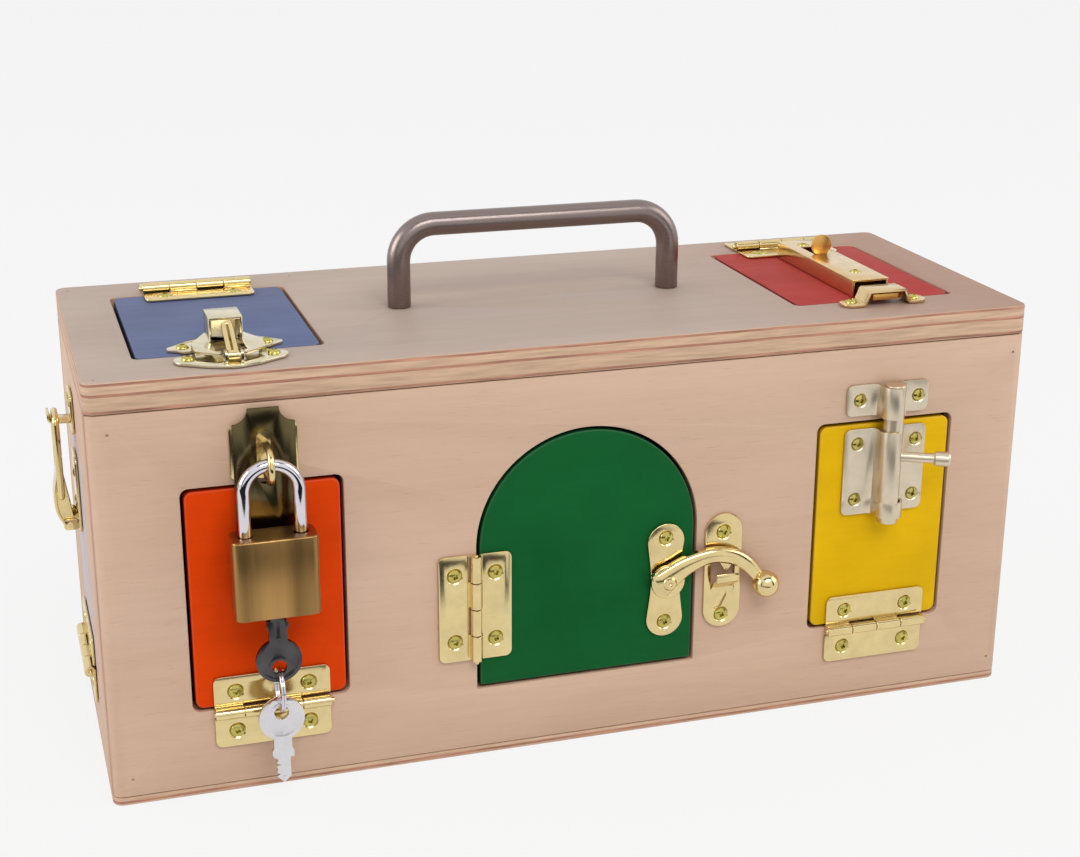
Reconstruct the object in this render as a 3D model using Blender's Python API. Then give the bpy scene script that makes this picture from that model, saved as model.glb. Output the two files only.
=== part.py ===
"""Wooden latch box: a plywood box with six small doors, each held by its own brass hinge and latch.

Metres, +Z up. X runs along the box, -Y is the front, and the origin is the centre of the underside.
Each piece of hardware is drawn flat, with its own +Z pointing away from the wood that it is screwed to.
"""

import math

import bmesh
import bpy
from mathutils import Matrix, Vector

# Driving sizes of the box
BOX_LENGTH = 0.360
BOX_DEPTH = 0.135
BOX_HEIGHT = 0.160
WALL = 0.009
TOP_THICKNESS = 0.0115
BOTTOM_THICKNESS = 0.003
CORNER_RADIUS = 0.004
EDGE_EASE = 0.0008

# Clearances
GAP = 0.0003
DOOR_GAP = 0.0013
PIN_CLEARANCE = 0.00025
SWING_CLEARANCE = 0.0005
OVERRUN = 0.002

# Side door openings, each centred on its own place
SMALL_OPENING_WIDTH = 0.0575
SMALL_OPENING_HEIGHT = 0.0857
SMALL_OPENING_FOOT = 0.0333
SMALL_OPENING_RADIUS = 0.003
SMALL_OPENING_X = 0.1210
ARCH_RADIUS = 0.0436
ARCH_FOOT = 0.0274
ARCH_HEIGHT = 0.1001

# Top door openings
TOP_OPENING_WIDTH = 0.068
TOP_OPENING_DEPTH = 0.089
TOP_OPENING_X = 0.1265
TOP_OPENING_Y = 0.0015

# Butt hinge, the same on all six doors
HINGE_LENGTH = 0.0425
LEAF_WIDTH = 0.014
LEAF_THICKNESS = 0.0009
LEAF_CORNER = 0.0025
KNUCKLE_RADIUS = 0.0021
PIN_RADIUS = 0.0009
PIN_PROUD = 0.0012
HINGE_SETBACK = 0.0008
HINGE_SCREW_SPACING = 0.0266
HINGE_SCREW_OFFSET = 0.0078
KNUCKLE_COUNT = 4

# Screw heads
SCREW_RADIUS = 0.0028
SCREW_HEIGHT = 0.0012
SCREW_RIM_SHARE = 0.45
SCREW_CROWN_SHARE = 0.55
SMALL_SCREW_RADIUS = 0.0023
SEAT_DEPTH = 0.0002

# Carrying handle
HANDLE_SPAN = 0.110
HANDLE_RADIUS = 0.0045
HANDLE_RISE = 0.0362
HANDLE_BEND = 0.014
HANDLE_SCREW_RADIUS = 0.0019
HANDLE_SCREW_BITE = 0.010
HANDLE_SCREW_HEAD = 0.0038
HANDLE_SCREW_HEAD_HEIGHT = 0.0024

# Hasp and staple over the orange door
HASP_X = -0.1200
HASP_AXIS_Z = 0.0980
STRAP_WIDTH = 0.022
STRAP_REACH = 0.049
STRAP_THICKNESS = 0.0012
STRAP_NOTCH = 0.0055
STRAP_LIFT = 0.0016
STRAP_SLOT_WIDTH = 0.0056
STRAP_SLOT_LENGTH = 0.0192
STRAP_SLOT_CENTRE = 0.0308
HASP_LEAF_DROP = 0.019
HASP_KNUCKLE_RADIUS = 0.0016
HASP_PIN_RADIUS = 0.0007
HASP_SCREW_OFFSET = 0.0110
HASP_SCREW_SPACING = 0.0130
STAPLE_WIRE = 0.0012
STAPLE_HALF_SPAN = 0.0058
STAPLE_PROUD = 0.0182
STAPLE_PLATE_WIDTH = 0.0240
STAPLE_PLATE_LOW = 0.0228
STAPLE_PLATE_HIGH = 0.0450

# Padlock and its keys
LOCK_WIDTH = 0.030
LOCK_HEIGHT = 0.0295
LOCK_THICKNESS = 0.013
LOCK_FOOT_Z = 0.0750
LOCK_EDGE = 0.0024
SHACKLE_WIRE = 0.0023
SHACKLE_CLEARANCE = 0.0004
LOCK_STANDOFF = STAPLE_PROUD - 2 * STAPLE_WIRE - SHACKLE_WIRE - SHACKLE_CLEARANCE
SHACKLE_HALF_SPAN = 0.0097
SHACKLE_TOP_Z = 0.1320
SHACKLE_LONG_LEG = 0.020
SHACKLE_SHORT_LEG = 0.0065
PLUG_RADIUS = 0.0042
PLUG_DEPTH = 0.020
KEY_THICKNESS = 0.0018
KEY_BLADE_WIDTH = 0.0050
KEY_NECK_WIDTH = 0.0078
KEY_NECK_LENGTH = 0.0072
KEY_BOW_RADIUS = 0.0082
KEY_LENGTH = 0.0255
KEY_BOW_DROP = 0.0186
KEY_HOLE_RADIUS = 0.0027
KEY_HOLE_OFFSET = 0.0025
RING_RADIUS = 0.0079
RING_WIRE = 0.0008
RING_SLACK = 0.00085

# Green door's hinge and its swing hook
GREEN_HINGE_Z = 0.0615
HOOK_PIVOT_X = 0.0308
HOOK_PIVOT_Z = 0.0635
PLATE_THICKNESS = 0.0010
PIVOT_PLATE_HALF = 0.0074
PIVOT_PLATE_TOP = 0.0152
PIVOT_PLATE_LOW = -0.0163
PIVOT_PLATE_WAIST = 0.0058
PIVOT_SCREW_TOP = 0.0168
PIVOT_SCREW_LOW = -0.0177
RIVET_RADIUS = 0.0016
RIVET_HEAD = 0.0034
RIVET_RISE = 0.0016
ARM_THICKNESS = 0.0026
ARM_EYE = 0.0068
ARM_REACH = 0.0395
ARM_CREST = 0.0118
ARM_CREST_SHARE = 0.49
ARM_DROP = -0.0050
ARM_WIDTH = 0.0050
ARM_TIP_WIDTH = 0.0040
LUG_X = 0.0236
LUG_TIP = 0.0020
LUG_WIDTH = 0.0052
BALL_RADIUS = 0.0040
CATCH_X = 0.0236
CATCH_HALF = 0.0076
CATCH_TOP = 0.0166
CATCH_LOW = -0.0152
CATCH_TONGUE_TOP = 0.0062
CATCH_TONGUE_LOW = -0.0075
CATCH_TONGUE_HALF = 0.0048

# Barrel bolt on the yellow door
BOLT_X = 0.1215
BOLT_RADIUS = 0.0040
BOLT_STANDOFF = 0.0013
BOLT_CLEARANCE = 0.0004
BARREL_WALL = 0.0016
BOLT_AXIS_RISE = BOLT_RADIUS + BOLT_STANDOFF
BOLT_BORE = BOLT_RADIUS + BOLT_CLEARANCE
BARREL_RADIUS = BOLT_BORE + BARREL_WALL
BOLT_FOOT_Z = 0.0783
BOLT_TOP_Z = 0.1345
HOUSING_LOW_Z = 0.0810
HOUSING_HIGH_Z = 0.1162
HOUSING_LEFT = 0.0180
HOUSING_RIGHT = 0.0165
KEEPER_LOW_Z = 0.1215
KEEPER_HIGH_Z = 0.1340
BOLT_SLOT_FROM = -6.0
BOLT_SLOT_TO = 78.0
BOLT_SCREW_SPREAD = 0.0122
BOLT_SCREW_INSET = 0.0062
KNOB_Z = 0.1055
KNOB_ANGLE = 28.0
KNOB_STEM = 0.0020
KNOB_SHANK = 0.0014
KNOB_HEAD = 0.0029
KNOB_REACH = 0.0225
KNOB_HEAD_LENGTH = 0.0060
KNOB_SEAT = 0.0025

# Spring catch on the blue door
CATCH_CENTRE_X = -0.1275
SHIELD_HALF = 0.0205
SHIELD_BACK_Y = -0.0270
SHIELD_FRONT_Y = -0.0620
SHIELD_RISE = 0.0026
SHIELD_BODY_HALF = 0.0125
SHIELD_WINDOW_HALF = 0.0062
SHIELD_WINDOW_FRONT = -0.0560
CAP_RISE = 0.0115
CAP_HALF = 0.0072
CAP_BACK_Y = -0.0290
CAP_FRONT_Y = -0.0420
BASE_HALF = 0.0200
BASE_BACK_Y = -0.0450
BASE_FRONT_Y = -0.0648
BASE_WING_Y = -0.0530
CATCH_SCREW_X = 0.0140
BASE_TONGUE_HALF = 0.0090
SHIELD_SHOULDER_Y = -0.0520
WING_BACK_Y = -0.0330
WING_FRONT_Y = -0.0410
SHIELD_SLOT_HALF = 0.0038
SPRING_EAR = 0.0010
SPRING_AXIS_Y = -0.0590
SPRING_AXIS_RISE = 0.0034
SPRING_PIN = 0.0007
SPRING_HALF = 0.0020
SPRING_TOP_Y = -0.0445
SPRING_TOP_RISE = 0.0105

# Flat slide bolt on the red door
SLIDE_X = 0.1262
COVER_HALF = 0.0078
COVER_RISE = 0.0072
COVER_WALL = 0.0010
COVER_BACK_Y = 0.0320
COVER_FRONT_Y = -0.0385
SLIDE_HALF = 0.0058
SLIDE_THICKNESS = 0.0024
SLIDE_RISE = 0.0022
SLIDE_BACK_Y = 0.0170
SLIDE_FRONT_Y = -0.0520
TAB_Y = 0.0060
TAB_TRAVEL = 0.0130
TAB_HALF = 0.0042
TAB_STEM_HALF = 0.0026
COVER_SCREW_BACK = 0.0215
COVER_SCREW_FRONT = -0.0250
TAB_RISE = 0.0152
TAB_THICKNESS = 0.0012
BRIDGE_BACK_Y = -0.0445
BRIDGE_FRONT_Y = -0.0535
BRIDGE_HALF = 0.0080
BRIDGE_RISE = 0.0064
BRIDGE_WALL = 0.0010
BRIDGE_EAR = 0.0175
BRIDGE_SCREW = 0.0128

# Toggle latch on the left door
TOGGLE_HALF = 0.0080
TOGGLE_BASE_LOW = 0.0835
TOGGLE_BASE_HIGH = 0.1135
TOGGLE_AXIS_Z = 0.0868
TOGGLE_AXIS_RISE = 0.0046
TOGGLE_PIN = 0.0011
LEVER_HALF = 0.0046
LEVER_TOP_Z = 0.1120
LEVER_BOW = 0.0088
LEVER_THICKNESS = 0.0011
LOOP_AXIS_Z = 0.0975
LOOP_AXIS_RISE = 0.0068
LOOP_WIRE = 0.0010
LOOP_HALF = 0.0062
LOOP_TOP_Z = 0.1290
HOOK_PLATE_LOW = 0.1222
HOOK_PLATE_HIGH = 0.1380
HOOK_HALF = 0.0045

# How finely round shapes are faceted
ROUND_STEPS = 16
FINE_STEPS = 24
SCREW_STEPS = 10
KNUCKLE_STEPS = 12
CORNER_STEPS = 3
MERGE = 0.000001

FACING_FRONT = Matrix.Rotation(math.radians(90), 4, "X")
FACING_UP = Matrix.Identity(4)
FACING_LEFT = Matrix(((0, 0, -1, 0), (-1, 0, 0, 0), (0, 1, 0, 0), (0, 0, 0, 1)))
QUARTER_TURN = Matrix.Rotation(math.radians(90), 4, "Z")
HALF_TURN = Matrix.Rotation(math.radians(180), 4, "Z")
STAND_UP = Matrix.Rotation(math.radians(90), 4, "X")
MIRROR_Y = Matrix.Scale(-1, 4, (0, 1, 0))
CYCLE = Matrix(((0, 0, 1, 0), (1, 0, 0, 0), (0, 1, 0, 0), (0, 0, 0, 1)))
ALONG_X = Matrix.Rotation(math.radians(90), 4, "Y")


def clear_scene():
    for obj in list(bpy.data.objects):
        bpy.data.objects.remove(obj)


def make_material(name, colour, roughness, metallic):
    material = bpy.data.materials.new(name)
    material.use_nodes = True
    shader = material.node_tree.nodes["Principled BSDF"]
    shader.inputs["Base Color"].default_value = (*colour, 1)
    shader.inputs["Roughness"].default_value = roughness
    shader.inputs["Metallic"].default_value = metallic
    return material


def frame(name, place, facing=FACING_UP, parent=None):
    """An empty at a joint's axis or a plate's centre, turned to face away from the wood."""
    empty = bpy.data.objects.new(name, None)
    bpy.context.scene.collection.objects.link(empty)
    empty.empty_display_size = SCREW_RADIUS
    world = Matrix.Translation(place) @ facing
    empty.parent = parent
    bpy.context.view_layer.update()
    empty.matrix_world = world
    return empty


def loose(mesh):
    """A helper object that holds a mesh while it is being cut or joined."""
    obj = bpy.data.objects.new("helper", mesh)
    bpy.context.scene.collection.objects.link(obj)
    obj.hide_render = True
    obj.display_type = "WIRE"
    return obj


def to_mesh(bm):
    bmesh.ops.remove_doubles(bm, verts=bm.verts, dist=MERGE)
    bmesh.ops.recalc_face_normals(bm, faces=bm.faces)
    mesh = bpy.data.meshes.new("shape")
    bm.to_mesh(mesh)
    bm.free()
    return mesh


def evaluated(obj):
    bpy.context.view_layer.update()
    graph = bpy.context.evaluated_depsgraph_get()
    return bpy.data.meshes.new_from_object(obj.evaluated_get(graph))


def combine(mesh, others, operation):
    """Joins or cuts a mesh with others, one after the next."""
    for other in others:
        body = loose(mesh)
        tool = loose(other)
        modifier = body.modifiers.new("shape", "BOOLEAN")
        modifier.operation = operation
        modifier.solver = "EXACT"
        modifier.object = tool
        mesh = evaluated(body)
        bpy.data.objects.remove(body)
        bpy.data.objects.remove(tool)
    return mesh


def joined(mesh, *others):
    return combine(mesh, others, "UNION")


def cut(mesh, *cutters):
    return combine(mesh, cutters, "DIFFERENCE")


def moved(mesh, matrix):
    mesh.transform(matrix)
    if matrix.determinant() < 0:
        mesh.flip_normals()
    return mesh


def shifted(mesh, x=0, y=0, z=0):
    return moved(mesh, Matrix.Translation((x, y, z)))


def eased(mesh, width, segments=1, angle=40):
    """Takes the sharp edges off a mesh with a Bevel modifier."""
    body = loose(mesh)
    modifier = body.modifiers.new("ease", "BEVEL")
    modifier.width = width
    modifier.segments = segments
    modifier.limit_method = "ANGLE"
    modifier.angle_limit = math.radians(angle)
    modifier.use_clamp_overlap = True
    mesh = evaluated(body)
    bpy.data.objects.remove(body)
    return mesh


def place(name, mesh, parent, material, smooth_angle=35):
    """Gives a finished mesh its name, its material and its place in the assembly."""
    mesh.name = name
    mesh.materials.clear()
    mesh.materials.append(material)
    mesh.shade_smooth()
    mesh.set_sharp_from_angle(angle=math.radians(smooth_angle))
    obj = bpy.data.objects.new(name, mesh)
    bpy.context.scene.collection.objects.link(obj)
    obj.parent = parent
    return obj


# Outlines are lists of (x, y) points that run anticlockwise
def arc(centre_x, centre_y, radius, start, end, steps):
    points = []
    for step in range(steps + 1):
        angle = math.radians(start + (end - start) * step / steps)
        points.append((centre_x + radius * math.cos(angle), centre_y + radius * math.sin(angle)))
    return points


def circle(radius, steps=ROUND_STEPS, x=0, y=0):
    return arc(x, y, radius, 0, 360, steps)[:-1]


def rectangle(left, right, low, high, radius=0, steps=CORNER_STEPS):
    if not radius:
        return [(left, low), (right, low), (right, high), (left, high)]
    points = arc(right - radius, low + radius, radius, -90, 0, steps)
    points += arc(right - radius, high - radius, radius, 0, 90, steps)
    points += arc(left + radius, high - radius, radius, 90, 180, steps)
    return points + arc(left + radius, low + radius, radius, 180, 270, steps)


def slab(outline, low, high):
    """An outline extruded from one height to another."""
    bm = bmesh.new()
    face = bm.faces.new([bm.verts.new((x, y, low)) for x, y in outline])
    extruded = bmesh.ops.extrude_face_region(bm, geom=[face])
    top = [item for item in extruded["geom"] if isinstance(item, bmesh.types.BMVert)]
    bmesh.ops.translate(bm, verts=top, vec=(0, 0, high - low))
    return to_mesh(bm)


def rod(radius, low, high, steps=ROUND_STEPS):
    return slab(circle(radius, steps), low, high)


def along_x(outline, low, high):
    """An outline of (y, z) points, extruded along X."""
    return moved(slab(outline, low, high), CYCLE)


def along_y(outline, low, high):
    """An outline of (x, z) points, extruded along Y."""
    return moved(slab(outline, -high, -low), STAND_UP)


def turned(profile, steps=ROUND_STEPS):
    """A profile of (radius, height) points, from the foot up the outside, turned about Z."""
    bm = bmesh.new()
    verts = [bm.verts.new((radius, 0, height)) for radius, height in profile]
    edges = [bm.edges.new(pair) for pair in zip(verts, verts[1:])]
    bmesh.ops.spin(bm, geom=verts + edges, axis=(0, 0, 1), cent=(0, 0, 0),
                   angle=math.tau, steps=steps, use_duplicate=False)
    return to_mesh(bm)


def wire(points, radius, sides_setting=3, closed=False):
    """A round bar that follows a path, made as a bevelled curve with filled ends."""
    curve = bpy.data.curves.new("bar", "CURVE")
    curve.dimensions = "3D"
    spline = curve.splines.new("POLY")
    spline.points.add(len(points) - 1)
    for target, point in zip(spline.points, points):
        target.co = (*point, 1)
    spline.use_cyclic_u = closed
    curve.bevel_depth = radius
    curve.bevel_resolution = sides_setting
    curve.use_fill_caps = not closed
    body = loose(curve)
    mesh = evaluated(body)
    bpy.data.objects.remove(body)
    bm = bmesh.new()
    bm.from_mesh(mesh)
    return to_mesh(bm)


def screw_head(x, y, height, radius=SCREW_RADIUS):
    """A low domed head that stands on a plate whose face is at the given height."""
    rim = SCREW_HEIGHT * SCREW_RIM_SHARE
    crown = radius * SCREW_CROWN_SHARE
    profile = [(0, -SEAT_DEPTH), (radius, -SEAT_DEPTH), (radius, rim),
               (crown, SCREW_HEIGHT), (0, SCREW_HEIGHT)]
    return shifted(turned(profile, SCREW_STEPS), x, y, height)


def opening_outline(grow=0):
    half = SMALL_OPENING_WIDTH / 2 + grow
    return rectangle(-half, half, -grow, SMALL_OPENING_HEIGHT + grow, SMALL_OPENING_RADIUS)


def arch_outline(grow=0):
    radius = ARCH_RADIUS + grow
    spring = ARCH_HEIGHT - ARCH_RADIUS
    foot = [(-radius, -grow), (radius, -grow)]
    return foot + arc(0, spring, radius, 0, 180, 2 * FINE_STEPS)


def top_opening_outline(grow=0):
    half = TOP_OPENING_WIDTH / 2 + grow
    depth = TOP_OPENING_DEPTH / 2 + grow
    return rectangle(-half, half, -depth, depth, SMALL_OPENING_RADIUS)


def carcass(wood):
    """Six plywood panels: front and back run full width, and the sides stand between them."""
    root = frame("box_frame", (0, 0, 0))
    half_x = BOX_LENGTH / 2
    half_y = BOX_DEPTH / 2
    wall_low = BOTTOM_THICKNESS + GAP
    wall_high = BOX_HEIGHT - TOP_THICKNESS - GAP
    plan = rectangle(-half_x, half_x, -half_y, half_y, CORNER_RADIUS)

    bottom = eased(slab(plan, 0, BOTTOM_THICKNESS), EDGE_EASE)
    place("bottom_panel", bottom, root, wood)

    top = slab(plan, BOX_HEIGHT - TOP_THICKNESS, BOX_HEIGHT)
    for side in (-1, 1):
        hole = slab(top_opening_outline(), BOX_HEIGHT - TOP_THICKNESS - OVERRUN, BOX_HEIGHT + OVERRUN)
        screw_hole = rod(HANDLE_SCREW_RADIUS + GAP, -OVERRUN - TOP_THICKNESS, OVERRUN)
        top = cut(top, shifted(hole, side * TOP_OPENING_X, TOP_OPENING_Y),
                  shifted(screw_hole, side * HANDLE_SPAN / 2, 0, BOX_HEIGHT))
    place("top_panel", eased(top, EDGE_EASE), root, wood)

    front_plan = arc(half_x - CORNER_RADIUS, -half_y + CORNER_RADIUS, CORNER_RADIUS, -90, 0, CORNER_STEPS)
    front_plan += [(half_x, -half_y + WALL), (-half_x, -half_y + WALL)]
    front_plan += arc(-half_x + CORNER_RADIUS, -half_y + CORNER_RADIUS, CORNER_RADIUS, 180, 270, CORNER_STEPS)
    back = slab([(-x, -y) for x, y in front_plan], wall_low, wall_high)
    place("back_panel", back, root, wood)

    cutters = []
    for side in (-1, 1):
        hole = slab(opening_outline(), half_y - WALL - OVERRUN, half_y + OVERRUN)
        cutters.append(shifted(moved(hole, STAND_UP), side * SMALL_OPENING_X, 0, SMALL_OPENING_FOOT))
    arch = slab(arch_outline(), half_y - WALL - OVERRUN, half_y + OVERRUN)
    cutters.append(shifted(moved(arch, STAND_UP), 0, 0, ARCH_FOOT))
    place("front_panel", cut(slab(front_plan, wall_low, wall_high), *cutters), root, wood)

    side_half = half_y - WALL - GAP
    for name, side in (("left_side_panel", -1), ("right_side_panel", 1)):
        inner = side * (half_x - WALL)
        plan = rectangle(min(inner, side * half_x), max(inner, side * half_x), -side_half, side_half)
        panel = slab(plan, wall_low, wall_high)
        if side < 0:
            hole = slab(opening_outline(), half_x - WALL - OVERRUN, half_x + OVERRUN)
            panel = cut(panel, shifted(moved(hole, FACING_LEFT), 0, 0, SMALL_OPENING_FOOT))
        place(name, panel, root, wood)


def handle(steel, screw_metal):
    """A bent steel bow, held by two screws that come up through the top panel."""
    root = frame("handle_frame", (0, 0, BOX_HEIGHT))
    foot = GAP
    crest = HANDLE_RISE - HANDLE_RADIUS
    half = HANDLE_SPAN / 2
    path = [(-half, 0, foot), (-half, 0, crest - HANDLE_BEND)]
    bend_z = crest - HANDLE_BEND
    left_bend = arc(-half + HANDLE_BEND, bend_z, HANDLE_BEND, 180, 90, 2 * CORNER_STEPS)
    right_bend = arc(half - HANDLE_BEND, bend_z, HANDLE_BEND, 90, 0, 2 * CORNER_STEPS)
    path += [(x, 0, z) for x, z in left_bend[1:] + right_bend]
    path += [(half, 0, foot)]
    bow = wire(path, HANDLE_RADIUS, 6)
    for side in (-1, 1):
        bore = rod(HANDLE_SCREW_RADIUS + GAP, foot - OVERRUN, HANDLE_SCREW_BITE + GAP)
        bow = cut(bow, shifted(bore, side * half))
    place("carry_handle", bow, root, steel)
    head_top = -TOP_THICKNESS - GAP
    head_low = head_top - HANDLE_SCREW_HEAD_HEIGHT
    for name, side in (("handle_screw_left", -1), ("handle_screw_right", 1)):
        profile = [(0, head_low), (HANDLE_SCREW_HEAD * SCREW_CROWN_SHARE, head_low),
                   (HANDLE_SCREW_HEAD, head_low + HANDLE_SCREW_HEAD_HEIGHT * SCREW_CROWN_SHARE),
                   (HANDLE_SCREW_HEAD, head_top), (HANDLE_SCREW_RADIUS, head_top),
                   (HANDLE_SCREW_RADIUS, HANDLE_SCREW_BITE), (0, HANDLE_SCREW_BITE)]
        place(name, shifted(turned(profile), side * half), root, screw_metal)


def hinge_leaf(own_first, length, outline, low, high, knuckle_radius, pin_radius, screws):
    """One leaf with its rolled knuckles. Local X is the pin, and the leaf reaches along +Y."""
    pitch = length / KNUCKLE_COUNT
    notch = knuckle_radius + SWING_CLEARANCE
    half = length / 2
    leaf = slab(outline, low, high)
    own = range(0 if own_first else 1, KNUCKLE_COUNT, 2)
    for index in range(KNUCKLE_COUNT):
        start = -half + index * pitch
        if index in own:
            roll = rod(knuckle_radius, start + GAP / 2, start + pitch - GAP / 2, KNUCKLE_STEPS)
            knuckle = moved(roll, ALONG_X)
            leaf = joined(leaf, knuckle)
        else:
            left = start - (OVERRUN if index == 0 else GAP / 2)
            right = start + pitch + (OVERRUN if index == KNUCKLE_COUNT - 1 else GAP / 2)
            relief = slab(rectangle(left, right, -OVERRUN, notch), low - OVERRUN, high + OVERRUN)
            leaf = cut(leaf, relief)
    bore = moved(rod(pin_radius + PIN_CLEARANCE, -half - OVERRUN, half + OVERRUN, KNUCKLE_STEPS), ALONG_X)
    leaf = cut(leaf, bore)
    heads = [screw_head(x, y, high) for x, y in screws]
    return joined(leaf, *heads)


def hinge_pin(length, radius, proud):
    return moved(rod(radius, -length / 2 - GAP, length / 2 + proud, KNUCKLE_STEPS), ALONG_X)


def leaf_outline(length, width):
    half = length / 2
    points = [(-half, 0), (half, 0)]
    points += arc(half - LEAF_CORNER, width - LEAF_CORNER, LEAF_CORNER, 0, 90, CORNER_STEPS)
    return points + arc(-half + LEAF_CORNER, width - LEAF_CORNER, LEAF_CORNER, 90, 180, CORNER_STEPS)


def butt_hinge(name, axis, facing, brass):
    """A brass butt hinge: local +Y is the door's side. Returns the empty on its axis."""
    root = frame(name + "_axis", axis, facing)
    spots = [(side * HINGE_SCREW_SPACING / 2, HINGE_SCREW_OFFSET) for side in (-1, 1)]
    low = -KNUCKLE_RADIUS
    outline = leaf_outline(HINGE_LENGTH, LEAF_WIDTH)
    sizes = (outline, low, low + LEAF_THICKNESS, KNUCKLE_RADIUS, PIN_RADIUS, spots)
    door_leaf = hinge_leaf(True, HINGE_LENGTH, *sizes)
    frame_leaf = moved(hinge_leaf(False, HINGE_LENGTH, *sizes), MIRROR_Y)
    place(name + "_frame_leaf", frame_leaf, root, brass)
    place(name + "_door_leaf", door_leaf, root, brass)
    place(name + "_pin", hinge_pin(HINGE_LENGTH, PIN_RADIUS, PIN_PROUD), root, brass)
    return root


def small_door(name, root, opening_offset, outline, paint):
    """A door that fills an opening. Its hinge frame's +Y is its side, and its face is below the axis."""
    surface = -KNUCKLE_RADIUS - GAP
    door = slab(outline, surface - WALL, surface)
    return place(name, eased(shifted(door, *opening_offset), EDGE_EASE), root, paint)


def orange_door(colours):
    axis = (-SMALL_OPENING_X, -BOX_DEPTH / 2 - KNUCKLE_RADIUS - GAP, SMALL_OPENING_FOOT - HINGE_SETBACK)
    root = butt_hinge("orange_hinge", axis, FACING_FRONT, colours["brass"])
    small_door("orange_door", root, (0, HINGE_SETBACK), opening_outline(-DOOR_GAP), colours["orange"])


def yellow_door(colours):
    axis = (SMALL_OPENING_X, -BOX_DEPTH / 2 - KNUCKLE_RADIUS - GAP, SMALL_OPENING_FOOT - HINGE_SETBACK)
    root = butt_hinge("yellow_hinge", axis, FACING_FRONT, colours["brass"])
    small_door("yellow_door", root, (0, HINGE_SETBACK), opening_outline(-DOOR_GAP), colours["yellow"])


def left_door(colours):
    axis = (-BOX_LENGTH / 2 - KNUCKLE_RADIUS - GAP, 0, SMALL_OPENING_FOOT - HINGE_SETBACK)
    root = butt_hinge("left_hinge", axis, FACING_LEFT, colours["brass"])
    small_door("left_door", root, (0, HINGE_SETBACK), opening_outline(-DOOR_GAP), colours["natural"])


def green_door(colours):
    axis = (-ARCH_RADIUS - HINGE_SETBACK, -BOX_DEPTH / 2 - KNUCKLE_RADIUS - GAP, GREEN_HINGE_Z)
    root = butt_hinge("green_hinge", axis, FACING_FRONT @ QUARTER_TURN.inverted(), colours["brass"])
    outline = [(GREEN_HINGE_Z - ARCH_FOOT - y, x + ARCH_RADIUS) for x, y in arch_outline(-DOOR_GAP)]
    small_door("green_door", root, (0, HINGE_SETBACK), outline, colours["green"])


def top_door(name, side, paint, brass):
    back_edge = TOP_OPENING_Y + TOP_OPENING_DEPTH / 2
    axis = (side * TOP_OPENING_X, back_edge + HINGE_SETBACK, BOX_HEIGHT + KNUCKLE_RADIUS + GAP)
    root = butt_hinge(name + "_hinge", axis, HALF_TURN, brass)
    outline = top_opening_outline(-DOOR_GAP)
    small_door(name + "_door", root, (0, TOP_OPENING_DEPTH / 2 + HINGE_SETBACK), outline, paint)


def strap_outline():
    """The hasp's strap, whose far corners are cut in with a quarter round."""
    half = STRAP_WIDTH / 2
    points = [(-half, 0), (half, 0)]
    points += arc(half, STRAP_REACH, STRAP_NOTCH, 270, 180, CORNER_STEPS)
    return points + arc(-half, STRAP_REACH, STRAP_NOTCH, 360, 270, CORNER_STEPS)


def hasp(colours):
    """The strap turns on the orange door and closes over a staple on the front panel."""
    surface = -HASP_KNUCKLE_RADIUS - GAP
    root = frame("hasp_axis", (HASP_X, -BOX_DEPTH / 2 + surface, HASP_AXIS_Z), FACING_FRONT)
    low = surface + STRAP_LIFT
    strap = hinge_leaf(True, STRAP_WIDTH, strap_outline(), low, low + STRAP_THICKNESS,
                       HASP_KNUCKLE_RADIUS, HASP_PIN_RADIUS, [])
    half = STRAP_SLOT_WIDTH / 2
    slot = rectangle(-half, half, STRAP_SLOT_CENTRE - STRAP_SLOT_LENGTH / 2,
                     STRAP_SLOT_CENTRE + STRAP_SLOT_LENGTH / 2, half - GAP)
    strap = cut(strap, slab(slot, low - OVERRUN, low + STRAP_THICKNESS + OVERRUN))
    place("hasp_strap", strap, root, colours["brass"])

    spots = [(side * HASP_SCREW_SPACING / 2, HASP_SCREW_OFFSET) for side in (-1, 1)]
    leaf = hinge_leaf(False, STRAP_WIDTH, leaf_outline(STRAP_WIDTH, HASP_LEAF_DROP), surface + GAP,
                      surface + GAP + LEAF_THICKNESS, HASP_KNUCKLE_RADIUS, HASP_PIN_RADIUS, spots)
    place("hasp_door_leaf", moved(leaf, MIRROR_Y), root, colours["brass"])
    place("hasp_pin", hinge_pin(STRAP_WIDTH, HASP_PIN_RADIUS, GAP), root, colours["brass"])

    base = frame("staple_base", (HASP_X, -BOX_DEPTH / 2, HASP_AXIS_Z), FACING_FRONT)
    half = STAPLE_PLATE_WIDTH / 2
    plate_outline = rectangle(-half, half, STAPLE_PLATE_LOW, STAPLE_PLATE_HIGH, LEAF_CORNER)
    plate = slab(plate_outline, GAP, GAP + LEAF_THICKNESS)
    crest = STAPLE_PROUD - STAPLE_WIRE - STAPLE_HALF_SPAN
    path = [(0, STRAP_SLOT_CENTRE - STAPLE_HALF_SPAN, GAP + LEAF_THICKNESS / 2)]
    bow = arc(0, crest, STAPLE_HALF_SPAN, 180, 0, ROUND_STEPS // 2)
    path += [(0, STRAP_SLOT_CENTRE + y, z) for y, z in bow]
    path += [(0, STRAP_SLOT_CENTRE + STAPLE_HALF_SPAN, GAP + LEAF_THICKNESS / 2)]
    place("hasp_staple", joined(plate, wire(path, STAPLE_WIRE, 2)), base, colours["brass"])


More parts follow.
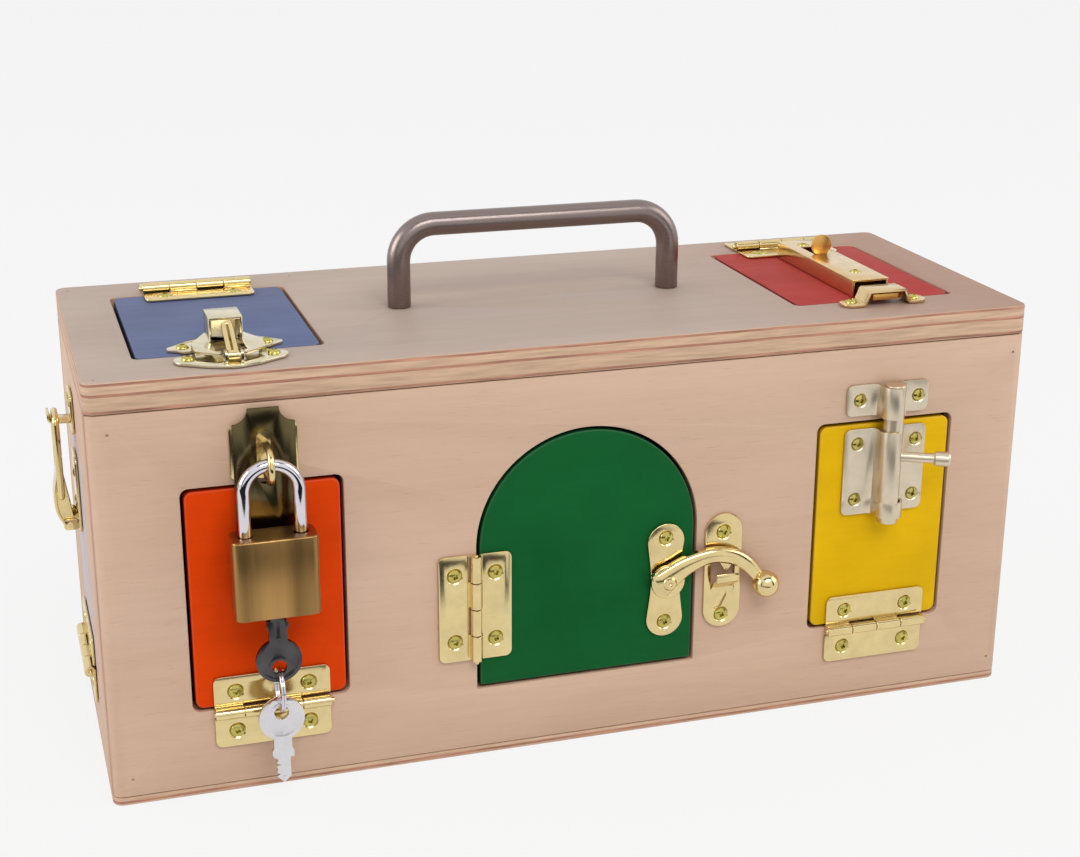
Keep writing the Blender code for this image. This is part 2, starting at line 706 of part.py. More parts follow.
def key_shape():
    """A flat key in the XZ plane: the bow's centre is at zero and the blade points up."""
    half = KEY_THICKNESS / 2
    bow = slab(circle(KEY_BOW_RADIUS, FINE_STEPS), -half, half)
    neck_end = KEY_BOW_RADIUS + KEY_NECK_LENGTH
    neck = slab(rectangle(-KEY_NECK_WIDTH / 2, KEY_NECK_WIDTH / 2, 0, neck_end), -half, half)
    tip = [(-KEY_BLADE_WIDTH / 2, 0), (KEY_BLADE_WIDTH / 2, 0),
           (KEY_BLADE_WIDTH / 2, KEY_LENGTH - KEY_BLADE_WIDTH / 2),
           (0, KEY_LENGTH), (-KEY_BLADE_WIDTH / 2, KEY_LENGTH - KEY_BLADE_WIDTH / 2)]
    hole = shifted(rod(KEY_HOLE_RADIUS, -half - OVERRUN, half + OVERRUN), 0, -KEY_HOLE_OFFSET)
    key = cut(joined(bow, neck, slab(tip, -half, half)), hole)
    return moved(key, STAND_UP)


def padlock(colours):
    """The lock hangs by its shackle in the staple. Unlocked, its body slides down off the shackle."""
    plane = -BOX_DEPTH / 2 - LOCK_STANDOFF
    crown = SHACKLE_TOP_Z - SHACKLE_WIRE
    body_top = LOCK_FOOT_Z + LOCK_HEIGHT
    swing = frame("padlock_swing_axis", (HASP_X, plane, crown))
    spring = -SHACKLE_HALF_SPAN
    long_foot = body_top - SHACKLE_LONG_LEG - crown
    short_foot = body_top - SHACKLE_SHORT_LEG - crown
    bend = arc(0, spring, SHACKLE_HALF_SPAN, 180, 0, ROUND_STEPS)
    path = [(-SHACKLE_HALF_SPAN, 0, long_foot)] + [(x, 0, z) for x, z in bend]
    path += [(SHACKLE_HALF_SPAN, 0, short_foot)]
    place("padlock_shackle", wire(path, SHACKLE_WIRE, 4), swing, colours["chrome"])

    base = frame("padlock_foot", (HASP_X, plane, LOCK_FOOT_Z), parent=swing)
    half = LOCK_WIDTH / 2
    deep = LOCK_THICKNESS / 2
    body = slab(rectangle(-half, half, -deep, deep, LOCK_EDGE), 0, LOCK_HEIGHT)
    body = eased(body, EDGE_EASE)
    for side, leg in ((-1, SHACKLE_LONG_LEG), (1, SHACKLE_SHORT_LEG)):
        bore = rod(SHACKLE_WIRE + GAP, LOCK_HEIGHT - leg - SWING_CLEARANCE, LOCK_HEIGHT + OVERRUN)
        body = cut(body, shifted(bore, side * SHACKLE_HALF_SPAN))
    body = cut(body, rod(PLUG_RADIUS, -OVERRUN, PLUG_DEPTH + GAP))
    place("padlock_body", body, base, colours["padlock_brass"])

    slot_half = KEY_BLADE_WIDTH / 2 + GAP
    slot = slab(rectangle(-slot_half, slot_half, -KEY_THICKNESS / 2 - GAP, KEY_THICKNESS / 2 + GAP),
                -OVERRUN, KEY_LENGTH - KEY_BOW_DROP + OVERRUN)
    plug = cut(rod(PLUG_RADIUS - GAP, 0, PLUG_DEPTH, FINE_STEPS), slot)
    place("padlock_plug", plug, base, colours["brass"])

    bow_z = LOCK_FOOT_Z - KEY_BOW_DROP
    key_base = frame("lock_key_axis", (HASP_X, plane, bow_z), parent=base)
    place("lock_key", key_shape(), key_base, colours["dark_nickel"])

    hold = KEY_HOLE_RADIUS - RING_WIRE - RING_SLACK
    ring_top = bow_z - KEY_HOLE_OFFSET - hold
    ring_base = frame("key_ring_axis", (HASP_X, plane, ring_top), parent=key_base)
    path = [(0, y, z) for y, z in arc(0, -RING_RADIUS, RING_RADIUS, 90, 450, FINE_STEPS)[:-1]]
    place("key_ring", wire(path, RING_WIRE, 1, closed=True), ring_base, colours["chrome"])

    spare_base = frame("spare_key_axis", (HASP_X, plane, ring_top - RING_RADIUS), parent=ring_base)
    hanging = moved(key_shape(), Matrix.Rotation(math.radians(180), 4, "Y"))
    spare = shifted(hanging, 0, 0, -RING_RADIUS - KEY_HOLE_OFFSET - hold)
    place("spare_key", spare, spare_base, colours["nickel"])


def bezier(start, pull, end, steps):
    """Points of a quadratic curve and their unit normals."""
    points = []
    for step in range(steps + 1):
        share = step / steps
        here = (1 - share) ** 2 * start + 2 * share * (1 - share) * pull + share ** 2 * end
        slope = (2 * (1 - share) * (pull - start) + 2 * share * (end - pull)).normalized()
        points.append((here, Vector((-slope.y, slope.x)), share))
    return points


def ribbon(start, pull, end, first_width, last_width, steps):
    """The outline of a curved arm that tapers from one width to another."""
    upper = []
    lower = []
    for here, normal, share in bezier(start, pull, end, steps):
        half = (first_width + (last_width - first_width) * share) / 2
        upper.append(here + normal * half)
        lower.append(here - normal * half)
    return [tuple(point) for point in lower + upper[::-1]]


def waisted_plate(half, low, high, waist, steps):
    """Two round ends joined by a plate that draws in at its middle."""
    middle = (low + high) / 2
    points = arc(0, low, half, 180, 360, steps)
    points += [(waist, middle)]
    points += arc(0, high, half, 0, 180, steps)
    return points + [(-waist, middle)]


def swing_hook(colours):
    """A curved arm turns on the door's plate and drops its lug into the catch plate's tongue."""
    root = frame("hook_axis", (HOOK_PIVOT_X, -BOX_DEPTH / 2, HOOK_PIVOT_Z), FACING_FRONT)
    plate_top = GAP + PLATE_THICKNESS
    arm_low = plate_top + SCREW_HEIGHT + GAP
    arm_top = arm_low + ARM_THICKNESS

    outline = waisted_plate(PIVOT_PLATE_HALF, PIVOT_PLATE_LOW, PIVOT_PLATE_TOP, PIVOT_PLATE_WAIST,
                            ROUND_STEPS // 2)
    plate = slab(outline, GAP, plate_top)
    rivet = turned([(0, GAP + SEAT_DEPTH), (RIVET_HEAD, GAP + SEAT_DEPTH), (RIVET_HEAD, arm_low - GAP),
                    (RIVET_RADIUS, arm_low - GAP), (RIVET_RADIUS, arm_top + GAP),
                    (RIVET_HEAD, arm_top + GAP), (RIVET_HEAD * SCREW_CROWN_SHARE, arm_top + GAP + RIVET_RISE),
                    (0, arm_top + GAP + RIVET_RISE)])
    heads = [screw_head(0, y, plate_top) for y in (PIVOT_SCREW_TOP, PIVOT_SCREW_LOW)]
    plate = joined(plate, rivet, *heads)
    place("hook_pivot_plate", plate, root, colours["brass"])

    start = Vector((0, 0))
    end = Vector((ARM_REACH, ARM_DROP))
    pull = 2 * Vector((ARM_REACH * ARM_CREST_SHARE, ARM_CREST - ARM_WIDTH / 2)) - (start + end) / 2
    arm = slab(ribbon(start, pull, end, ARM_WIDTH, ARM_TIP_WIDTH, ROUND_STEPS), arm_low, arm_top)
    eye = rod(ARM_EYE, arm_low, arm_top, FINE_STEPS)
    lug_root = (LUG_TIP + ARM_CREST) / 2
    lug = slab([(LUG_X - LUG_WIDTH / 4, LUG_TIP), (LUG_X + LUG_WIDTH / 4, LUG_TIP),
                (LUG_X + LUG_WIDTH / 2, lug_root), (LUG_X - LUG_WIDTH / 2, lug_root)], arm_low, arm_top)
    arm = cut(joined(arm, eye, lug), rod(RIVET_RADIUS + GAP, -OVERRUN, arm_top + OVERRUN))
    arm = eased(arm, EDGE_EASE, angle=60)
    bm = bmesh.new()
    bmesh.ops.create_uvsphere(bm, u_segments=ROUND_STEPS, v_segments=ROUND_STEPS // 2, radius=BALL_RADIUS)
    ball = shifted(to_mesh(bm), ARM_REACH, ARM_DROP, BALL_RADIUS + 2 * GAP)
    place("hook_arm", joined(arm, ball), root, colours["brass"])

    base = frame("catch_plate_base", (HOOK_PIVOT_X + CATCH_X, -BOX_DEPTH / 2, HOOK_PIVOT_Z), FACING_FRONT)
    outline = waisted_plate(CATCH_HALF, CATCH_LOW, CATCH_TOP, CATCH_HALF, ROUND_STEPS // 2)
    plate = slab(outline, GAP, plate_top)
    tongue_outline = [(CATCH_TONGUE_LOW, plate_top - SEAT_DEPTH), (LUG_TIP - GAP, plate_top - SEAT_DEPTH),
                      (LUG_TIP - GAP, arm_top + GAP), (CATCH_TONGUE_TOP - ARM_THICKNESS, arm_top + GAP),
                      (CATCH_TONGUE_TOP - ARM_THICKNESS, arm_top + GAP + PLATE_THICKNESS),
                      (LUG_TIP - ARM_THICKNESS, arm_top + GAP + PLATE_THICKNESS)]
    tongue = along_x(tongue_outline, -CATCH_TONGUE_HALF, CATCH_TONGUE_HALF)
    heads = [screw_head(0, y, plate_top) for y in (CATCH_TOP, CATCH_LOW - CATCH_HALF / 3)]
    plate = joined(plate, tongue, *heads)
    place("hook_catch_plate", plate, base, colours["brass"])


def clasp(length_low, length_high, left, right):
    """A flat plate with a barrel rolled along it, slotted so that the bolt shows and its knob can pass."""
    surface = -BOLT_AXIS_RISE + GAP
    outline = rectangle(-left, right, length_low, length_high, LEAF_CORNER)
    flange = slab(outline, surface, surface + PLATE_THICKNESS)
    barrel = along_y(circle(BARREL_RADIUS, FINE_STEPS), length_low, length_high)
    bore = along_y(circle(BOLT_BORE, FINE_STEPS), length_low - OVERRUN, length_high + OVERRUN)
    reach = 2 * BARREL_RADIUS
    wedge = [(0, 0)] + arc(0, 0, reach, BOLT_SLOT_FROM, BOLT_SLOT_TO, CORNER_STEPS)
    slot = along_y(wedge, length_low - OVERRUN, length_high + OVERRUN)
    under = slab(rectangle(-reach, reach, length_low - OVERRUN, length_high + OVERRUN), -reach, surface)
    return cut(joined(flange, barrel), bore, slot, under)


def barrel_bolt(colours):
    """The rod slides down out of the keeper. Local Y is the rod's axis, measured from the table."""
    root = frame("bolt_axis", (BOLT_X, -BOX_DEPTH / 2 - BOLT_AXIS_RISE, 0), FACING_FRONT)
    face = -BOLT_AXIS_RISE + GAP + PLATE_THICKNESS
    spots = [(x, z) for x in (-BOLT_SCREW_SPREAD, BOLT_SCREW_SPREAD)
             for z in (HOUSING_LOW_Z + BOLT_SCREW_INSET, HOUSING_HIGH_Z - BOLT_SCREW_INSET)]
    heads = [screw_head(x, z, face, SMALL_SCREW_RADIUS) for x, z in spots]
    housing = joined(clasp(HOUSING_LOW_Z, HOUSING_HIGH_Z, HOUSING_LEFT, HOUSING_RIGHT), *heads)
    place("bolt_housing", housing, root, colours["nickel_brass"])

    middle = (KEEPER_LOW_Z + KEEPER_HIGH_Z) / 2
    heads = [screw_head(x, middle, face, SMALL_SCREW_RADIUS) for x in (-BOLT_SCREW_SPREAD, BOLT_SCREW_SPREAD)]
    keeper = joined(clasp(KEEPER_LOW_Z, KEEPER_HIGH_Z, HOUSING_LEFT, HOUSING_RIGHT), *heads)
    place("bolt_keeper", keeper, root, colours["nickel_brass"])

    bolt = eased(along_y(circle(BOLT_RADIUS, FINE_STEPS), BOLT_FOOT_Z, BOLT_TOP_Z), EDGE_EASE)
    aim = Matrix.Rotation(math.radians(90 - KNOB_ANGLE), 4, "Y")
    to_knob = Matrix.Translation((0, KNOB_Z, 0)) @ aim
    seat = BOLT_RADIUS - KNOB_SEAT
    bolt = cut(bolt, moved(rod(KNOB_SHANK + GAP, seat, BOLT_RADIUS + OVERRUN), to_knob))
    place("bolt_rod", bolt, root, colours["nickel_brass"])

    shoulder = BOLT_RADIUS + GAP
    head_start = KNOB_REACH - KNOB_HEAD_LENGTH
    knob = turned([(0, seat + GAP), (KNOB_SHANK, seat + GAP), (KNOB_SHANK, shoulder),
                   (KNOB_STEM, shoulder), (KNOB_STEM, head_start), (KNOB_HEAD, head_start + GAP),
                   (KNOB_HEAD, KNOB_REACH - EDGE_EASE), (KNOB_HEAD - EDGE_EASE, KNOB_REACH),
                   (0, KNOB_REACH)])
    place("bolt_knob", moved(knob, to_knob), root, colours["nickel_brass"])


def spring_catch(colours):
    """The blue door's shield ends in a cap, and a sprung strip on the panel hooks under that cap."""
    root = frame("blue_latch_frame", (CATCH_CENTRE_X, 0, BOX_HEIGHT))
    plate_top = GAP + PLATE_THICKNESS
    lobes = BASE_HALF - LEAF_CORNER - LEAF_CORNER
    outline = [(-BASE_TONGUE_HALF, BASE_FRONT_Y + LEAF_CORNER), (0, BASE_FRONT_Y),
               (BASE_TONGUE_HALF, BASE_FRONT_Y + LEAF_CORNER)]
    outline += arc(lobes, BASE_WING_Y, 2 * LEAF_CORNER, -70, 70, ROUND_STEPS // 2)
    outline += [(BASE_TONGUE_HALF, BASE_BACK_Y), (-BASE_TONGUE_HALF, BASE_BACK_Y)]
    outline += arc(-lobes, BASE_WING_Y, 2 * LEAF_CORNER, 110, 250, ROUND_STEPS // 2)
    base = slab(outline, GAP, plate_top)
    ear_low = SPRING_HALF + GAP
    ear = rectangle(SPRING_AXIS_Y - 2 * SPRING_PIN, SPRING_AXIS_Y + 2 * SPRING_PIN, plate_top - SEAT_DEPTH,
                    SPRING_AXIS_RISE + SPRING_PIN + GAP)
    pin = moved(rod(SPRING_PIN, -ear_low - GAP, ear_low + GAP), ALONG_X)
    pin = shifted(pin, 0, SPRING_AXIS_Y, SPRING_AXIS_RISE)
    ears = [along_x(ear, low, low + SPRING_EAR) for low in (-ear_low - SPRING_EAR, ear_low)]
    heads = [screw_head(x, BASE_WING_Y, plate_top, SMALL_SCREW_RADIUS) for x in (-lobes, lobes)]
    place("blue_latch_base", joined(base, *ears, pin, *heads), root, colours["brass"])

    hook_root = frame("blue_hook_axis", (CATCH_CENTRE_X, SPRING_AXIS_Y, BOX_HEIGHT + SPRING_AXIS_RISE))
    start = Vector((0, SPRING_PIN + GAP + SEAT_DEPTH))
    tip = Vector((SPRING_TOP_Y - SPRING_AXIS_Y, SPRING_TOP_RISE - SPRING_AXIS_RISE))
    pull = Vector((0, tip.y))
    bent = ribbon(start, pull, tip, 2 * SPRING_PIN, 2 * SPRING_PIN, CORNER_STEPS * 2)
    strip = along_x(bent, -SPRING_HALF, SPRING_HALF)
    hub = moved(rod(2 * SPRING_PIN + GAP, -SPRING_HALF, SPRING_HALF), ALONG_X)
    bore = moved(rod(SPRING_PIN + GAP, -SPRING_HALF - OVERRUN, SPRING_HALF + OVERRUN), ALONG_X)
    place("blue_latch_hook", cut(joined(strip, hub), bore), hook_root, colours["brass"])

    wing_middle = (WING_BACK_Y + WING_FRONT_Y) / 2
    wings = slab([(-SHIELD_HALF, wing_middle - EDGE_EASE), (-SHIELD_BODY_HALF, WING_FRONT_Y),
                  (SHIELD_BODY_HALF, WING_FRONT_Y), (SHIELD_HALF, wing_middle - EDGE_EASE),
                  (SHIELD_HALF, wing_middle + EDGE_EASE),
                  (SHIELD_BODY_HALF, SHIELD_BACK_Y), (-SHIELD_BODY_HALF, SHIELD_BACK_Y),
                  (-SHIELD_HALF, wing_middle + EDGE_EASE)], GAP, plate_top)
    skirt = slab(rectangle(-SHIELD_BODY_HALF, SHIELD_BODY_HALF, WING_FRONT_Y, SHIELD_BACK_Y),
                 plate_top - SEAT_DEPTH, SHIELD_RISE + GAP)
    body = slab([(-SHIELD_BODY_HALF, SHIELD_SHOULDER_Y), (0, SHIELD_FRONT_Y),
                 (SHIELD_BODY_HALF, SHIELD_SHOULDER_Y), (SHIELD_BODY_HALF, SHIELD_BACK_Y),
                 (-SHIELD_BODY_HALF, SHIELD_BACK_Y)],
                SHIELD_RISE, SHIELD_RISE + PLATE_THICKNESS)
    cap = along_y([(-CAP_HALF, SHIELD_RISE), (CAP_HALF, SHIELD_RISE), (CAP_HALF, CAP_RISE + PLATE_THICKNESS),
                   (-CAP_HALF, CAP_RISE + PLATE_THICKNESS)], CAP_FRONT_Y, CAP_BACK_Y)
    inner = CAP_HALF - PLATE_THICKNESS
    hollow = along_y(rectangle(-inner, inner, 0, CAP_RISE), CAP_FRONT_Y - OVERRUN,
                     CAP_BACK_Y - PLATE_THICKNESS)
    cut_top = SHIELD_RISE + PLATE_THICKNESS + OVERRUN
    window = slab(rectangle(-SHIELD_WINDOW_HALF, SHIELD_WINDOW_HALF, SHIELD_WINDOW_FRONT,
                            CAP_FRONT_Y + OVERRUN), plate_top + GAP, cut_top)
    slot = slab(rectangle(-SHIELD_SLOT_HALF, SHIELD_SLOT_HALF, SHIELD_FRONT_Y - OVERRUN,
                          SHIELD_WINDOW_FRONT + OVERRUN), plate_top, cut_top)
    shield = cut(joined(wings, skirt, body, cap), window, slot, cut(hollow, slab(
        rectangle(-CAP_HALF, CAP_HALF, CAP_FRONT_Y - 2 * OVERRUN, CAP_BACK_Y), -OVERRUN, plate_top)))
    heads = [screw_head(x, wing_middle, plate_top, SMALL_SCREW_RADIUS)
             for x in (-CATCH_SCREW_X, CATCH_SCREW_X)]
    place("blue_latch_shield", joined(shield, *heads), root, colours["brass"])


def slide_bolt(colours):
    """A flat bolt slides under a folded cover, pushed by an upright thumb tab."""
    root = frame("red_slide_axis", (SLIDE_X, 0, BOX_HEIGHT))
    cover = along_y(rectangle(-COVER_HALF, COVER_HALF, GAP, COVER_RISE, EDGE_EASE),
                    COVER_FRONT_Y, COVER_BACK_Y)
    inner = COVER_HALF - COVER_WALL
    hollow = along_y(rectangle(-inner, inner, -OVERRUN, COVER_RISE - COVER_WALL), COVER_FRONT_Y - OVERRUN,
                     COVER_BACK_Y - COVER_WALL)
    slot_half = TAB_STEM_HALF + GAP
    slot = slab(rectangle(-slot_half, slot_half, TAB_Y - GAP, TAB_Y + TAB_TRAVEL + TAB_THICKNESS),
                COVER_RISE - COVER_WALL - OVERRUN, COVER_RISE + OVERRUN)
    heads = [screw_head(0, y, COVER_RISE, SMALL_SCREW_RADIUS)
             for y in (COVER_SCREW_FRONT, COVER_SCREW_BACK + TAB_THICKNESS)]
    place("red_bolt_cover", joined(cut(cover, hollow, slot), *heads), root, colours["brass"])

    bar = slab(rectangle(-SLIDE_HALF, SLIDE_HALF, SLIDE_FRONT_Y, SLIDE_BACK_Y, EDGE_EASE),
               SLIDE_RISE, SLIDE_RISE + SLIDE_THICKNESS)
    lean = math.degrees(math.acos(TAB_STEM_HALF / TAB_HALF))
    tab_outline = [(-TAB_STEM_HALF, SLIDE_RISE + SEAT_DEPTH), (TAB_STEM_HALF, SLIDE_RISE + SEAT_DEPTH)]
    tab_outline += arc(0, TAB_RISE - TAB_HALF, TAB_HALF, -lean, 180 + lean, FINE_STEPS)
    tab = along_y(tab_outline, TAB_Y, TAB_Y + TAB_THICKNESS)
    place("red_bolt_slide", joined(bar, tab), root, colours["brass"])

    plate_top = GAP + BRIDGE_WALL
    ears = slab(rectangle(-BRIDGE_EAR, BRIDGE_EAR, BRIDGE_FRONT_Y, BRIDGE_BACK_Y, LEAF_CORNER),
                GAP, plate_top)
    hump = along_y([(-BRIDGE_HALF - BRIDGE_WALL, GAP), (BRIDGE_HALF + BRIDGE_WALL, GAP),
                    (BRIDGE_HALF, BRIDGE_RISE), (-BRIDGE_HALF, BRIDGE_RISE)],
                   BRIDGE_FRONT_Y, BRIDGE_BACK_Y)
    inner = BRIDGE_HALF - BRIDGE_WALL
    tunnel = along_y([(-BRIDGE_HALF, -OVERRUN), (BRIDGE_HALF, -OVERRUN), (inner, BRIDGE_RISE - BRIDGE_WALL),
                      (-inner, BRIDGE_RISE - BRIDGE_WALL)], BRIDGE_FRONT_Y - OVERRUN, BRIDGE_BACK_Y + OVERRUN)
    middle = (BRIDGE_FRONT_Y + BRIDGE_BACK_Y) / 2
    heads = [screw_head(x, middle, plate_top, SMALL_SCREW_RADIUS) for x in (-BRIDGE_SCREW, BRIDGE_SCREW)]
    place("red_bolt_keeper", joined(cut(joined(ears, hump), tunnel), *heads), root, colours["brass"])


def toggle_latch(colours):
    """A lever pulls a wire loop down over the hook plate. Local Y is the height above the table."""
    root = frame("toggle_frame", (-BOX_LENGTH / 2, 0, 0), FACING_LEFT)
    plate_top = GAP + PLATE_THICKNESS
    base = slab(rectangle(-TOGGLE_HALF, TOGGLE_HALF, TOGGLE_BASE_LOW, TOGGLE_BASE_HIGH, LEAF_CORNER),
                GAP, plate_top)
    ear_low = LEVER_HALF + GAP
    ear_half = 2 * TOGGLE_PIN
    ear = rectangle(TOGGLE_AXIS_Z - ear_half, TOGGLE_AXIS_Z + ear_half, plate_top - SEAT_DEPTH,
                    TOGGLE_AXIS_RISE + ear_half, EDGE_EASE)
    ears = [along_x(ear, low, low + PLATE_THICKNESS) for low in (-ear_low - PLATE_THICKNESS, ear_low)]
    pin = moved(rod(TOGGLE_PIN, -ear_low - GAP, ear_low + GAP), ALONG_X)
    pin = shifted(pin, 0, TOGGLE_AXIS_Z, TOGGLE_AXIS_RISE)
    place("toggle_base", joined(base, *ears, pin), root, colours["brass"])

    lever_root = frame("toggle_lever_axis", (-BOX_LENGTH / 2 - TOGGLE_AXIS_RISE, 0, TOGGLE_AXIS_Z),
                       FACING_LEFT)
    start = Vector((0, 0))
    end = Vector((LEVER_TOP_Z - TOGGLE_AXIS_Z, 2 * LEVER_THICKNESS))
    pull = Vector((end.x / 2, 2 * (LEVER_BOW - TOGGLE_AXIS_RISE)))
    bow = ribbon(start, pull, end, LEVER_THICKNESS, LEVER_THICKNESS, ROUND_STEPS // 2)
    hub = moved(rod(TOGGLE_PIN + GAP + LEVER_THICKNESS, -LEVER_HALF, LEVER_HALF), ALONG_X)
    eye_place = (0, LOOP_AXIS_Z - TOGGLE_AXIS_Z, LOOP_AXIS_RISE - TOGGLE_AXIS_RISE)
    eye = shifted(moved(rod(LOOP_WIRE + GAP + LEVER_THICKNESS, -LEVER_HALF, LEVER_HALF), ALONG_X), *eye_place)
    reach = LEVER_HALF + OVERRUN
    bores = [moved(rod(TOGGLE_PIN + GAP, -reach, reach), ALONG_X),
             shifted(moved(rod(LOOP_WIRE + GAP, -reach, reach), ALONG_X), *eye_place)]
    lever = cut(joined(along_x(bow, -LEVER_HALF, LEVER_HALF), hub, eye), *bores)
    place("toggle_lever", lever, lever_root, colours["brass"])

    loop_root = frame("toggle_loop_axis", (-BOX_LENGTH / 2 - LOOP_AXIS_RISE, 0, LOOP_AXIS_Z),
                      FACING_LEFT, lever_root)
    length = LOOP_TOP_Z - LOOP_AXIS_Z
    bend = 2 * LOOP_WIRE
    path = [(x, y, 0) for x, y in rectangle(-LOOP_HALF, LOOP_HALF, 0, length, bend)]
    place("toggle_loop", wire(path, LOOP_WIRE, 2, closed=True), loop_root, colours["brass"])

    hook_base = slab(rectangle(-TOGGLE_HALF, TOGGLE_HALF, HOOK_PLATE_LOW, HOOK_PLATE_HIGH, LEAF_CORNER),
                     GAP, plate_top)
    under = LOOP_TOP_Z - LOOP_WIRE - GAP
    lip = LOOP_TOP_Z + LOOP_WIRE
    post = [(under - 2 * PLATE_THICKNESS, plate_top - SEAT_DEPTH), (under, plate_top - SEAT_DEPTH),
            (under, LOOP_AXIS_RISE + LOOP_WIRE + GAP), (lip, LOOP_AXIS_RISE + LOOP_WIRE + GAP),
            (lip, LOOP_AXIS_RISE + LOOP_WIRE + GAP + PLATE_THICKNESS),
            (under - 2 * PLATE_THICKNESS, LOOP_AXIS_RISE + LOOP_WIRE + GAP + PLATE_THICKNESS)]
    hook_top = (LOOP_TOP_Z + HOOK_PLATE_HIGH) / 2 + EDGE_EASE
    head = screw_head(0, hook_top, plate_top, SMALL_SCREW_RADIUS)
    hook = joined(hook_base, along_x(post, -HOOK_HALF, HOOK_HALF), head)
    place("toggle_hook_plate", hook, root, colours["brass"])


def main():
    clear_scene()
    colours = {
        "natural": make_material("birch_plywood", (0.60, 0.43, 0.32), 0.6, 0),
        "orange": make_material("orange_paint", (0.66, 0.06, 0.004), 0.45, 0),
        "green": make_material("green_paint", (0.008, 0.10, 0.025), 0.45, 0),
        "yellow": make_material("yellow_paint", (0.70, 0.42, 0.006), 0.45, 0),
        "blue": make_material("blue_paint", (0.10, 0.14, 0.33), 0.45, 0),
        "red": make_material("red_paint", (0.43, 0.08, 0.11), 0.45, 0),
        "brass": make_material("polished_brass", (0.72, 0.55, 0.24), 0.2, 1),
        "nickel_brass": make_material("brushed_nickel_brass", (0.62, 0.53, 0.38), 0.3, 1),
        "padlock_brass": make_material("brushed_lock_brass", (0.60, 0.40, 0.17), 0.35, 1),
        "chrome": make_material("chromed_steel", (0.75, 0.75, 0.76), 0.1, 1),
        "steel": make_material("brushed_steel", (0.50, 0.47, 0.46), 0.35, 1),
        "nickel": make_material("bright_nickel", (0.66, 0.65, 0.64), 0.25, 1),
        "dark_nickel": make_material("dark_nickel", (0.25, 0.24, 0.24), 0.3, 1),
    }
    carcass(colours["natural"])
    handle(colours["steel"], colours["nickel"])
    orange_door(colours)
    hasp(colours)
    padlock(colours)
    green_door(colours)
    swing_hook(colours)
    yellow_door(colours)
    barrel_bolt(colours)
    top_door("blue", -1, colours["blue"], colours["brass"])
    spring_catch(colours)
    top_door("red", 1, colours["red"], colours["brass"])
    slide_bolt(colours)
    left_door(colours)
    toggle_latch(colours)


main()
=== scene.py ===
"""Looks of a wooden latch box: birch plywood, painted doors, brass hinges and six kinds of latch.

Every size is in metres in the model's own frame: +X along the box, -Y out of the front, +Z up.
Hardware is drawn flat, with its own +Z pointing away from the wood that it is screwed to.
"""

import math

import bmesh
import bpy
from mathutils import Matrix, Vector


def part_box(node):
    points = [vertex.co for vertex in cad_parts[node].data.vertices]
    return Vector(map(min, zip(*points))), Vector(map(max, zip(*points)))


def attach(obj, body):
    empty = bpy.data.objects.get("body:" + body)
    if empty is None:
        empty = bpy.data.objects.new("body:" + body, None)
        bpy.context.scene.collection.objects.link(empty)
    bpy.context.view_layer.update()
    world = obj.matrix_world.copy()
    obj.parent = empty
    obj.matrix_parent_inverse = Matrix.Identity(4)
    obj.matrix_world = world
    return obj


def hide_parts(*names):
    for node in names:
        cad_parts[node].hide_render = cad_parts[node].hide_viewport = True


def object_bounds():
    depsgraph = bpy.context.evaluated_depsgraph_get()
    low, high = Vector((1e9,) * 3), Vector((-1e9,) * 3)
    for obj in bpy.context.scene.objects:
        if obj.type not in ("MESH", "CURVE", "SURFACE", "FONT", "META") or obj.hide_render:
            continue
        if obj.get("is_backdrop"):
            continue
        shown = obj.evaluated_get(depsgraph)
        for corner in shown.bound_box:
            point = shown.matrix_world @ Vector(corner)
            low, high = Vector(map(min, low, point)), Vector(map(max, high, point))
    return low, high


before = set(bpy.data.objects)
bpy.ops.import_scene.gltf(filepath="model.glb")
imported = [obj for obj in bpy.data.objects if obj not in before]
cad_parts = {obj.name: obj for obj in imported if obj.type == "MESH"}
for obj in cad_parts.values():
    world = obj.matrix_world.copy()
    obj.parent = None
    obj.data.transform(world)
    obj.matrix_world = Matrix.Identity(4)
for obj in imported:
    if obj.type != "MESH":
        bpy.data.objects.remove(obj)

bl_info = {
    "name": "Wooden latch box",
    "version": (1, 0, 0),
    "blender": (4, 5, 0),
    "location": "3D View > Sidebar > Latch box",
    "description": "Builds the finished look of a wooden latch box on its packed model",
    "category": "Object",
}

CAD_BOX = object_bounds()

# The box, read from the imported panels
BOTTOM_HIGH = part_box("bottom_panel")[1]
HALF_LENGTH = BOTTOM_HIGH.x
HALF_DEPTH = BOTTOM_HIGH.y
TOP_LOW, TOP_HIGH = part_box("top_panel")
BOX_HEIGHT = TOP_HIGH.z
TOP_THICKNESS = TOP_HIGH.z - TOP_LOW.z
BOTTOM_THICKNESS = BOTTOM_HIGH.z
BACK_LOW, BACK_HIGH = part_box("back_panel")
WALL = BACK_HIGH.y - BACK_LOW.y
WALL_LOW, WALL_HIGH = (corner.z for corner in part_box("front_panel"))
CORNER_RADIUS = 0.004

# How much edges are rounded
EDGE_EASE = 0.0007
SOFT_EASE = EDGE_EASE * 0.6
HALF_EASE = EDGE_EASE * 0.5
THIN_EASE = EDGE_EASE * 0.4

# Seats and running fits
GAP = 0.0003
SEAT = 0.0002
OVERRUN = 0.002

# How finely round shapes are faceted, and from which angle in degrees an edge is sharp
FINE = 48
ROUND = 32
CORNER = 6
NAIL_STEPS = 12
PIN_STEPS = 20
THICK_WIRE_STEPS = 10
WIRE_STEPS = 6
RING_WIRE_STEPS = 5
SPRING_WIRE_STEPS = 5
COIL_WIRE_STEPS = 3
MERGE = 0.000001
SMOOTH_ANGLE = 32


def turn(degrees, axis):
    return Matrix.Rotation(math.radians(degrees), 4, axis)


